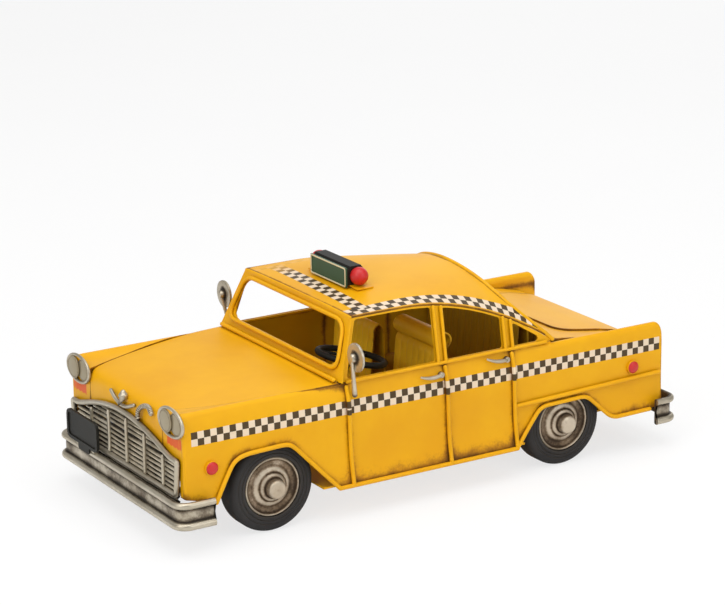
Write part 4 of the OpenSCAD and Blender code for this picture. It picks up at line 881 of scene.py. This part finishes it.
def sideWireParts():
    # seams, sill, both arches and the rear rail, with rounded corners and points at even steps
    heights = np.array(sideWire["heights"])
    archF = np.array(fender["arch"][:6]) + [frontWheelX, 0]
    archR = np.array([sideWire["archStart"], *quarter["arch"][1:]]) + [rearWheelX, 0]
    runs = [np.stack([seamX(x, heights), heights], 1) for x in body["seams"]]
    runs += [np.array([archF[0], archR[-1]]), archF, archR, np.array(sideWire["rail"])]
    counts = [max(12, int(lengthAlong(r)[-1] / sideWire["step"])) for r in runs]
    smooth = [resampled(arcPath(r, sideWire["cornerR"]), count) for r, count in zip(runs, counts)]
    return [wireTube(onSide(r), body["wire"], (0, 1, 0)) for r in smooth]


bothSides("TrimWires", "trim_wires", sideWireParts())


def offsetLoop(corners, d):
    # every edge of an anticlockwise outline moved outward by d, corners at the new crossings
    p = np.asarray(corners, float)
    edges = unit(p - np.roll(p, 1, 0)), unit(np.roll(p, -1, 0) - p)
    a, b = (np.stack([e[:, 1], -e[:, 0]], 1) for e in edges)
    n = a + b
    return p + n * (d / (n * a).sum(1))[:, None]


shield = {"lean": math.radians(20.2), "foot": 69.0, "post": 5.6, "footHalf": 60.2, "headHalf": 52.2,
          "height": 30.69, "sill": 5.8, "head": 3.4, "r": 7.5, "bead": 1.05, "proud": 1.55,
          "wireAt": (55.2, 56.0, 70.1)}
posts = {"foot": 68.5, "low": 68.6, "radius": 0.9, "gap": 0.1, "head": 1.32, "front": 4,
         "x": (-3.8, -8.2, -43.75, -48.15), "rear": -68.26}


def onFrame(x, z):  # point on the leaning side plane of the window frames, a wire radius proud
    proud = (posts["radius"] + posts["gap"]) / math.cos(sideLean)
    return spaced(x, body["beltHalf"] - (z - posts["foot"]) * math.tan(sideLean) + proud, z)


def windowTrimParts():
    # straight wires on the leaning side plane: one along the belt and two up every post to the roof edge
    front = body["cowlX"] - (posts["foot"] - shield["foot"]) * math.tan(shield["lean"]) - posts["front"]
    lines = [onFrame(np.linspace(front, posts["rear"], 90), posts["low"])]
    lines += [onFrame(x, np.linspace(posts["low"], roofEdge(x) - posts["head"], 30)) for x in posts["x"]]
    return withMirror([wireTube(line, posts["radius"], (0, 1, 0)) for line in lines])


def shieldTrimParts():
    # bead round the windshield opening, and the straight wire along the foot of the frame
    rise = np.array([shield["sill"], shield["height"]]) / shield["height"]
    half = shield["footHalf"] + (shield["headHalf"] - shield["footHalf"]) * rise - shield["post"] + [0, 1]
    low, high = shield["sill"], shield["height"] - shield["head"]
    corners = [(-half[0], low), (half[0], low), (half[1], high), (-half[1], high)]
    line = loopPath(offsetLoop(corners, 1.0), shield["r"], 9, 219)
    c, s = math.cos(shield["lean"]), math.sin(shield["lean"])
    out = np.array([c, 0, s])
    path = np.array([body["cowlX"], 0, shield["foot"]]) + line[:, :1] * [0, 1, 0] + line[:, 1:] * [-s, 0, c]
    x, reach, z = shield["wireAt"]
    foot = spaced(x, np.linspace(-reach, reach, 70), z)
    bead = wireTube(path + out * shield["proud"], shield["bead"], out, closed=True)
    return [bead, wireTube(foot, body["wire"], (0.5, 0, 1))]


makePiece("windowTrim", windowTrimParts(), "window_trim")
makePiece("windshieldTrim", shieldTrimParts(), "windshield_trim")
print("wires and window beads made")

# Profile rows are (radius, height above the named level, grime), from the hub's end out and back inside
wheel = {"rim": 14.95, "in": 43.0, "out": 57.0, "dish": 54.4, "hub": nodeBox("left_front_wheel")[1][1],
         "z": 22.85, "tyre": 22.85, "shoulder": 3.4, "seat": 0.05, "profile": (
             ("hub", ((0.0, 0, 0.1), (1.2, 0, 0.1), (2.6, -0.04, 0.08), (3.8, -0.14, 0.1), (4.4, -0.5, 0.12),
                      (4.7, -1.1, 0.2))),
             ("dish", ((4.8, 5.6, 0.25), (4.9, 4.4, 0.4), (5.0, 3.9, 0.85), (5.2, 3.6, 0.9),
                       (5.5, 3.4, 0.35), (6.2, 3.1, 0.12), (6.8, 2.8, 0.12), (7.1, 2.3, 0.5),
                       (7.3, 1.9, 0.65), (7.6, 1.7, 0.4), (8.4, 1.5, 0.08), (9.4, 1.2, 0.12),
                       (10.1, 0.7, 0.4), (10.5, 0.45, 0.55), (11.1, 0.3, 0.42), (12.2, 0.3, 0.4),
                       (13.0, 0.6, 0.46), (13.5, 1.2, 0.6))),
             ("out", ((13.8, -0.8, 0.3), (14.1, -0.4, 0.0), (14.5, -0.4, 0.0), (14.85, -0.8, 0.3),
                      (14.95, -1.2, 0.6))),
             ("in", ((14.95, 1.4, 0.6), (14.65, 1.0, 0.4), (13.75, 1.0, 0.4))),
             ("dish", ((12.55, -2.2, 0.8), (5.6, -2.2, 0.6))),
             ("in", ((5.0, 2.0, 0.5), (1.6, 2.0, 0.5), (1.6, 3.0, 0.6), (0.0, 3.0, 0.6)))),
         "wall": ((15.45, -0.12, 0.5), (16.0, 0, 0.2), (16.7, -0.05, 0.3), (17.0, -0.4, 0.7),
                  (17.3, -0.05, 0.3), (18.4, 0, 0.1), (18.9, -0.35, 0.6), (19.2, -0.02, 0.2))}


def wheelProfile():  # the rows at their levels, with more points along the line
    rows = [(r, wheel[level] + h, dirt) for level, group in wheel["profile"] for r, h, dirt in group]
    return resampled(np.array(rows), 120)


def tyreProfile():
    # (radius, height, grime): shallow rings in the wall, rounded shoulders, closed on the rim
    s, r, top, low = wheel["shoulder"], wheel["tyre"], wheel["out"], wheel["in"]
    a = np.linspace(0, np.pi / 2, 9)
    foot = [(wheel["rim"] + wheel["seat"], top - 0.5, 0.8)]
    wall = [(radius, top + h, dirt) for radius, h, dirt in wheel["wall"]]
    outer = [(r - s + s * math.sin(t), top - s + s * math.cos(t), 0.1) for t in a]
    tread = [(r, y, 0.25) for y in np.linspace(top - s, low + s, 6)[1:-1]]
    inner = [(r - s + s * math.cos(t), low + s - s * math.sin(t), 0.2) for t in a]
    return np.array(foot + wall + outer + tread + inner + [(wheel["rim"] + wheel["seat"], low, 0.5)] + foot)


for end, x in (("Front", frontWheelX), ("Rear", rearWheelX)):
    low = end.lower()
    for profile, stem, look, slot, segments in ((wheelProfile(), "Wheel", "wheelMetal", "wheel_metal", 96),
                                                (tyreProfile(), "Tyre", "tyreRubber", "tyre_rubber", 120)):
        part = turnedPart(profile[::-1], (x, 0, wheel["z"]), (0, 1, 0), segments)
        for side, half in (("left", part), ("right", mirrored(part))):
            makePiece(side + end + stem, [half], f"{side}_{low}_{stem.lower()}", look=look, slot=slot,
                      body=low + "_axle_set")
print("wheels and tyres made")

bumper = {"frontX": 146.8, "rearX": -148.8, "half": 66.3, "cornerR": 8.0, "frontWrap": 20.5,
          "rearWrap": 14.5, "low": (15.4, 1.9), "high": (25.7, 1.7), "web": 0.4, "webT": 1.0,
          "backIn": 0.8, "webGap": 0.1, "webDirt": (0.95, 0.6, 0.42, 0.36, 0.36, 0.42, 0.6, 0.95)}


def bead(z, r, a0, a1):  # arc of a bumper bead, grimier as it turns away from the front
    a = np.radians(np.linspace(a0, a1, 16))
    return [(r * math.cos(t), z + r * math.sin(t), 0.55 * (1 - max(0.0, math.cos(t))) ** 2) for t in a]


def bumperSection():
    # (outward, up, grime): the two beads as arcs, joined by a thin web set back from their fronts
    (lowZ, lowR), (highZ, highR) = bumper["low"], bumper["high"]
    back = -bumper["web"] - bumper["webT"]
    heights = np.linspace(lowZ + lowR + bumper["webGap"], highZ - highR - bumper["webGap"], 8)
    face = [(-bumper["web"], z, dirt) for z, dirt in zip(heights, bumper["webDirt"])]
    behind = [(back, highZ + bumper["backIn"], 0.5), (back, lowZ - bumper["backIn"], 0.5)]
    return bead(lowZ, lowR, -130, 100) + face + bead(highZ, highR, -100, 130) + behind


def bumperParts(noseX, wrap, direction):
    # section carried from one wrap end round both corners to the other
    r = bumper["cornerR"] - bumper["low"][1]
    mid, side = noseX - bumper["low"][1], bumper["half"] - bumper["low"][1]
    a = np.linspace(0, np.pi / 2, 14)
    arm = spaced(np.linspace(noseX - wrap, mid - r, 10)[:-1], side, 0)
    corner = spaced(mid - r + r * np.sin(a), side - r + r * np.cos(a), 0)
    half = np.concatenate([arm, corner])
    halfOut = np.concatenate([np.tile([0.0, 1, 0], (9, 1)), spaced(np.sin(a), np.cos(a), 0)])
    face = spaced(mid, np.linspace(side - r, r - side, 60)[1:-1], 0)
    turn, other = [direction, 1, 1], [1, -1, 1]
    path = np.concatenate([half, face, half[::-1] * other]) * turn
    out = np.concatenate([halfOut, np.tile([1.0, 0, 0], (58, 1)), halfOut[::-1] * other]) * turn
    return [sweptPart(bumperSection(), path[::-direction], out[::-direction])]


frontBar = bumperParts(bumper["frontX"], bumper["frontWrap"], 1)
rearBar = bumperParts(-bumper["rearX"], bumper["rearWrap"], -1)
makePiece("frontBumper", frontBar, "front_bumper", look="pewter", slot="pewter")
makePiece("rearBumper", rearBar, "rear_bumper", look="pewter", slot="pewter")
print("bumpers made")

grilleWire = {"radius": 1.4, "proud": 1.52, "footIn": 2, "cornerR": 1.2}
# the third number of each section row darkens the slat edges toward the gaps: grime and painted shade
# between the slats
slats = {"count": 10, "under": 4, "low": 29.7, "pitch": 2.424, "height": 2.2, "endGap": 3.8, "topGap": 1.2,
         "backTop": 1.0, "backUnder": 0.6, "section": (
             (-0.9, 1.3, 0.95), (0.1, 0.7, 0.8), (0.7, 0.0, 0.3), (0.95, 0.05, 0.0), (1.1, 0.3, 0.0),
             (1.1, 0.55, 0.05), (0.2, 1.3, 0.7), (-0.5, 2.0, 1.0))}
bars = {"x": 141.57, "shift": 4.0, "pitch": 19.04, "radius": 0.85, "low": 30.45, "clear": 2.9}
light = {"x": 139.62, "y": 49.5, "z": 63.0, "ring": (12.0, 6.8), "wire": 0.8, "pitch": 4.2, "step": 1.12,
         "disc": (
    (0, 0.0, 0.4), (5.8, 0.0, 0.5), (5.8, 0.5, 0.4), (5.65, 0.72, 0.15), (5.4, 0.8, 0.0), (5.15, 0.7, 0.7),
    (4.8, 0.76, 0.4), (3.8, 0.88, 0.1), (2.0, 0.96, 0.05), (0, 1.0, 0.05))}


def grilleFrameParts():
    # stout wire round the moustache outline
    y = np.linspace(1, -1, 49) * grille["half"]
    foot = grille["half"] - grilleWire["footIn"]
    outline = [(-foot, grille["low"]), (foot, grille["low"]), *zip(y, grilleTop(y))]
    line = loopPath(outline, grilleWire["cornerR"], 4, 260)
    path = spaced(body["frontX"] + grilleWire["proud"], line[:, 0], line[:, 1])
    return [wireTube(path, grilleWire["radius"], (1, 0, 0), closed=True, sides=16)]


def slatParts():
    # bent louvre strips, falling forward to a rolled lip; the upper ones end where the bow meets them
    parts = []
    for i in range(-slats["under"], slats["count"]):
        z = slats["low"] + slats["pitch"] * i
        over = z + slats["height"] - grille["end"]
        reach = grille["half"] - slats["endGap"]
        back = slats["backUnder"] if i < 0 else 0
        if over > 0:
            bow = 1 - (over / grille["rise"]) ** (1 / grille["power"])
            reach = (grille["half"] - grille["shoulder"]) * math.sqrt(bow) - slats["topGap"]
            back = slats["backTop"]
        y = np.linspace(-reach, reach, 60)
        path = spaced(body["frontX"] - back, y, z + 0.08 * np.sin(y * 0.21 + i * 2.1))
        parts.append(sweptPart(slats["section"], path, (1, 0, 0)))
    return parts


def barParts():
    # five upright rods at an even pitch, each ending below the moustache line
    parts = []
    for k in range(-2, 3):
        y = bars["shift"] + k * bars["pitch"]
        top = grilleTop(abs(y) + bars["radius"]) - bars["clear"]
        path = spaced(bars["x"], y, np.linspace(bars["low"], top, 30))
        parts.append(tubePart(path, bars["radius"], (1, 0, 0), grime=0.12))
    return parts


def ringParts():
    # wire bent to an ellipse in front of the fender
    a = turns(96)
    wide, tall = light["ring"]
    path = spaced(light["x"] + light["wire"], light["y"] + wide * np.cos(a), light["z"] + tall * np.sin(a))
    return withMirror([tubePart(path, light["wire"], (1, 0, 0), closed=True, grime=0.15)])


def discParts():
    # domed buttons with a turned line near their edges; the second of each pair stands a step ahead
    centres = [(light["x"] + k * light["step"], y + (1 - 2 * k) * light["pitch"], light["z"])
               for y in (-light["y"], light["y"]) for k in (0, 1)]
    return [turnedPart(light["disc"], centre, (1, 0, 0)) for centre in centres]


def onNose(points, stand):  # (Y, Z) line laid on the nose, standing off by the given amount
    y, z = np.asarray(points, float).T
    rise = climb(nosePath)
    return spaced(np.interp(z, nosePath[rise, 1], nosePath[rise, 0]) + stand, y, z)


ornament = {"vee": ((-13.6, 61.6), (-7, 58.6), (-1.3, 57.4), (4, 57.8), (11.4, 60.8)), "veeStand": 1.5,
            "veeWire": 0.9, "ball": (0.5, 62.6), "ballStand": 2.4, "ballR": 2.3, "tail": (2.2, -0.8)}
strap = {"path": ((18, 55.9), (17, 58.4), (18.6, 61.8), (22, 63.6), (26.4, 63.6), (30.2, 61.9)),
         "stand": 2.1, "pitch": 1.15, "wire": 1.0, "swell": 0.28}


def ornamentParts():
    # V of round wire and a ball drawn out into a tail
    vee = onNose(resampled(arcPath(ornament["vee"], 3.0), 60), ornament["veeStand"])
    t = np.linspace(0, 1, 26)
    lift = np.clip((t - 0.35) / 0.65, 0, 1)
    ahead, aside = ornament["tail"]
    centre = onNose([ornament["ball"]], ornament["ballStand"])
    path = centre + spaced(ahead * lift, aside * lift, 1.6 - 5.9 * t)
    r = ornament["ballR"]
    ball = np.where(t < 0.4, np.sqrt(np.clip(r ** 2 - (r * (t / 0.4 - 0.62) * 1.25) ** 2, 0.4, None)), 0)
    tail = 0.5 + 1.7 * np.clip(1 - (t - 0.3) / 0.7, 0, 1) ** 1.3 * (t > 0.3)
    return [wireTube(vee, ornament["veeWire"], (1, 0, 0)),
            tubePart(path, np.maximum(ball, tail), (1, 0.1, 0), 24, grime=0.1 + 0.4 * t)]


def strapParts():
    # wire with twisted ribs: the radius swells and narrows along its length
    line = onNose(resampled(arcPath(strap["path"], 3.0), 160), strap["stand"])
    rib = np.abs(np.sin(lengthAlong(line) * np.pi / strap["pitch"]))
    return [tubePart(line, strap["wire"] + strap["swell"] * rib, (1, 0, 0), 16, grime=0.85 - 0.75 * rib)]


for name, parts, node, look in (("grilleFrame", grilleFrameParts, "grille_frame", "pewter"),
                                ("grilleSlats", slatParts, "grille_slats", "grilleMetalLitShaded"),
                                ("grilleBars", barParts, "grille_bars", "pewter"),
                                ("headlightRings", ringParts, "headlight_rings", "pewter"),
                                ("headlightDiscs", discParts, "headlight_discs", "lampMetal"),
                                ("hoodOrnament", ornamentParts, "hood_ornament", "pewter"),
                                ("hoodStrap", strapParts, "hood_strap", "pewter")):
    makePiece(name, parts(), node, look=look, slot="pewter")
print("grille and lights made")

mirrorAt = {"x": 48.2, "y": 65.5, "z": nodeBox("left_mirror")[1][2] - 7.2, "foot": (46.6, 61.2, 62.5),
            "neck": (2.05, -0.4, -1.2), "stalk": (0.8, 0.5), "disc": (
                (0, -0.45, 0.1), (6.2, -0.45, 0.15), (6.5, -0.5, 0.6), (6.8, -0.7, 0.2), (7.1, -0.55, 0.1),
                (7.2, 0.0, 0.2), (7.1, 0.55, 0.3), (6.7, 0.68, 0.2), (4.6, 0.6, 0.15), (2.6, 0.64, 0.8),
                (2.2, 0.9, 0.7), (2.2, 2.2, 0.3), (1.7, 3.0, 0.2), (0, 3.3, 0.1))}


def mirrorParts():
    # thin disc with a rolled edge, a hub ball behind it and a tapered stalk
    centre = np.array([mirrorAt["x"], mirrorAt["y"], mirrorAt["z"]])
    neck = centre + mirrorAt["neck"]
    t = np.linspace(0, 1, 40)
    path = neck + (np.array(mirrorAt["foot"]) - neck) * t[:, None]
    thin, swell = mirrorAt["stalk"]
    stalk = tubePart(path, thin + swell * t, (1, 0, 0), grime=0.15 + 0.5 * near(1 - t, 0.08))
    return [turnedPart(mirrorAt["disc"], centre, (1, 0, 0)), stalk]


bothSides("Mirror", "mirror", mirrorParts(), look="pewter", slot="pewter")

# Each lever: place (X, Z) of its boss and the rise toward its tip
levers = {"boss": ((-4.1, 63.2, 0.8), (-43.3, 64.1, 2.2)), "length": 12.0, "sag": 0.9, "stand": 1.5,
          "seatZ": 1.5, "seatGap": 0.24,
          "knob": ((0, 0, 0.6), (1.5, 0, 0.8), (1.5, 1.6, 0.2), (1.3, 2.0, 0.1), (0.7, 2.2, 0.1),
                   (0, 2.25, 0.1))}


def handleParts():
    # round boss on the door and a lever that swells, sags a little and thins out to its tip
    t = np.linspace(0, 1, 40)
    radius = 0.75 + 0.35 * np.sin(np.pi * t ** 0.7) - 0.2 * t
    parts = []
    for x, z, rise in levers["boss"]:
        y = sideY(z - levers["seatZ"]) + levers["seatGap"]
        sag = levers["sag"] * np.sin(np.pi * t)
        path = spaced(x + levers["length"] * t, y + levers["stand"], z + rise * t - sag)
        parts.append(turnedPart(levers["knob"], (x, y, z), (0, 1, 0), 36))
        parts.append(tubePart(path, radius, (0, 1, 0), grime=0.1 + 0.3 * near(t, 0.1)))
    return withMirror(parts)


makePiece("doorHandles", handleParts(), "door_handles", look="pewter", slot="pewter")

# the third number of the profile darkens the foot and rim of the glass: grime and painted shade where it
# meets its rim
lens = {"side": ((125.2, 40.5), (-121.8, 46.2)), "tail": (-140.92, 42.0, 42.0), "proud": 0.12, "profile": (
    (0, 0.2, 0.2), (2.4, 0.2, 0.4), (2.4, 1.0, 0.5), (3.2, 1.14, 0.5), (3.1, 1.35, 0.1), (2.6, 1.75, 0),
    (1.8, 2.1, 0), (0.9, 2.32, 0), (0, 2.38, 0))}


def lensParts():
    # domed red glass lapping over the inner edge of its rim
    y = body["half"] + lens["proud"]
    parts = [turnedPart(lens["profile"], (x, y, z), (0, 1, 0), 40) for x, z in lens["side"]]
    return withMirror(parts + [turnedPart(lens["profile"], lens["tail"], (-1, 0, 0), 40)])


makePiece("redLenses", lensParts(), "red_lenses", look="redLacquer", slot="red_lacquer")

steering = {"centre": (23.7, 20.5, 67.0), "tilt": math.radians(14), "r": 17.0, "wire": 1.6, "spoke": 0.8,
            "spokeIn": 0.6, "spokes": (90, 210, 330),
            "hub": ((0, -1.6, 0.1), (2.4, -1.6, 0.1), (2.6, -1.3, 0.1), (2.6, 0.8, 0.1), (2.2, 1.3, 0.1),
                    (0, 1.4, 0.1))}


def steeringParts():
    # ring, hub and three spokes in a plane tilted toward the driver
    c, s = math.cos(steering["tilt"]), math.sin(steering["tilt"])
    ahead, across, axis = np.array([c, 0, s]), np.array([0, 1.0, 0]), np.array([-s, 0, c])
    centre = np.array(steering["centre"])
    a = turns(96)[:, None]
    ring = centre + steering["r"] * (np.cos(a) * ahead + np.sin(a) * across)
    parts = [tubePart(ring, steering["wire"], axis, 18, True, grime=0.05)]
    t = np.linspace(0, steering["r"] - steering["spokeIn"], 20)[:, None]
    for angle in np.radians(steering["spokes"]):
        path = centre + t * (math.cos(angle) * ahead + math.sin(angle) * across)
        parts.append(tubePart(path, steering["spoke"], axis, 12, grime=0.1))
    return parts + [turnedPart(steering["hub"], centre, axis, 48)]


makePiece("steeringWheel", steeringParts(), "steering_wheel", look="blackPaint", slot="black_paint")
print("mirrors and steering wheel made")

# Each seat: X of the back rest's foot and height of its top
seat = {"low": 18.22, "cushion": 42.0, "inner": 3.5, "outer": 42.0, "rib": 0.75, "roll": (5.2, 4.6),
        "rollX": -6, "rollSunk": 0.9,
        "driver": (-10.8, 70.0), "passenger": (-2.3, 73.0), "rear": (-60.4, 77.3)}


def seatParts(x, top, y0, y1, ribs, ribShade):
    # folded sheet: cushion profile carried across, with upright ribs raised on the front of the back rest
    c, low = seat["cushion"], seat["low"]
    line = arcPath([(x + 26, low), (x + 27, c - 3), (x + 24, c), (x + 2, c - 2), (x, c),
                    (x - 2.4, top - 2.4), (x - 4.4, top), (x - 6.6, top - 0.6), (x - 8.4, top - 4),
                    (x - 9.6, low)], 1.6, 5)
    along, z = resampled(line, 120).T[..., None]
    y = np.linspace(y0, y1, 14 * ribs)
    across = 2 * np.abs((y - y0) / (y1 - y0) * ribs % 1 - 0.5)
    back = (along < x + 0.1) & (along > x - 4.0)
    reach = np.clip((z - c - 2.2) / 1.2, 0, 1) * np.clip((top - 1.0 - z) / 2.4, 0, 1) * back
    # darker in the slots between the ribs and in the crease above the cushion: painted shade; grime and
    # painted shade at both ends
    dirt = (ribShade * across ** 8 * reach + 0.5 * near(z - c, 3.0)
            + 0.3 * near(np.minimum(y - y0, y1 - y), 1.4))
    return [panel(spaced(along + seat["rib"] * (1 - across ** 3) * reach, y, z), dirt)]


def rollParts(x, top, y0, y1):
    # oval tube of sheet along the top of the driver's back rest
    a = np.linspace(0, 2 * np.pi, 61)[:, None]
    y = np.linspace(y0, y1, 50)
    wide, tall = seat["roll"]
    z = top + tall - seat["rollSunk"] + tall * np.sin(a)
    # darker on the lower half of the roll: painted shade; its ends darker with grime and painted shade
    dirt = 0.4 * near(np.minimum(y - y0, y1 - y), 1.6) + 0.4 * np.clip(-np.sin(a), 0, 1)
    return [panel(spaced(x + seat["rollX"] + wide * np.cos(a), y, z), dirt)]


inner, outer = seat["inner"], seat["outer"]
driver = seatParts(*seat["driver"], inner, outer, 7, 0.3) + rollParts(*seat["driver"], inner, outer)
passenger = seatParts(*seat["passenger"], -outer, -inner, 7, 0.3)
bench = seatParts(*seat["rear"], -outer, outer, 14, 0.05)
makePiece("driverSeat", driver, "driver_seat", look="seatPaintLit", slot="seat_paint")
makePiece("passengerSeat", passenger, "passenger_seat", look="seatPaintLit", slot="seat_paint")
makePiece("rearSeat", bench, "rear_seat", look="rearSeatPaintShaded", slot="seat_paint")
print("seats made")

sign = {"low": nodeBox("sign_face")[0], "high": nodeBox("sign_face")[1], "border": 0.42, "cornerR": 0.6,
        "sunk": 0.1}


def borderParts():
    # raised bead round the edge of the bare sign face
    y0, z0 = sign["low"][1:] + sign["border"]
    y1, z1 = sign["high"][1:] - sign["border"]
    line = loopPath([(y0, z0), (y1, z0), (y1, z1), (y0, z1)], sign["cornerR"], 4, 119)
    path = spaced(sign["high"][0] - sign["sunk"], line[:, 0], line[:, 1])
    return [tubePart(path, sign["border"], (1, 0, 0), 10, True, grime=0.1)]


makePiece("signBorder", borderParts(), look="signCream", slot="sign_green")
print("sign border made")


# CAD nodes that stay as they are, by finish
keptNodes = {
    "pillarPaintShaded": ("floor_pan", "windshield_frame", "left_window_frame", "right_window_frame"),
    "taxiPaint": ("sign_bracket", "lens_rims"),
    "axleSteel": ("front_axle_bracket", "rear_axle_bracket", "front_axle", "rear_axle", "bumper_brackets"),
    "pewter": ("plate_bracket",),
    "blackPaint": ("sign_housing", "steering_column", "number_plate"),
    "redLacquer": ("sign_lamps",),
    "signGreen": ("sign_face",),
}
for look, names in keptNodes.items():
    for name in names:
        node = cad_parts[name]
        node.data.materials.clear()
        node.data.materials.append(finish[look])
print("CAD nodes painted")
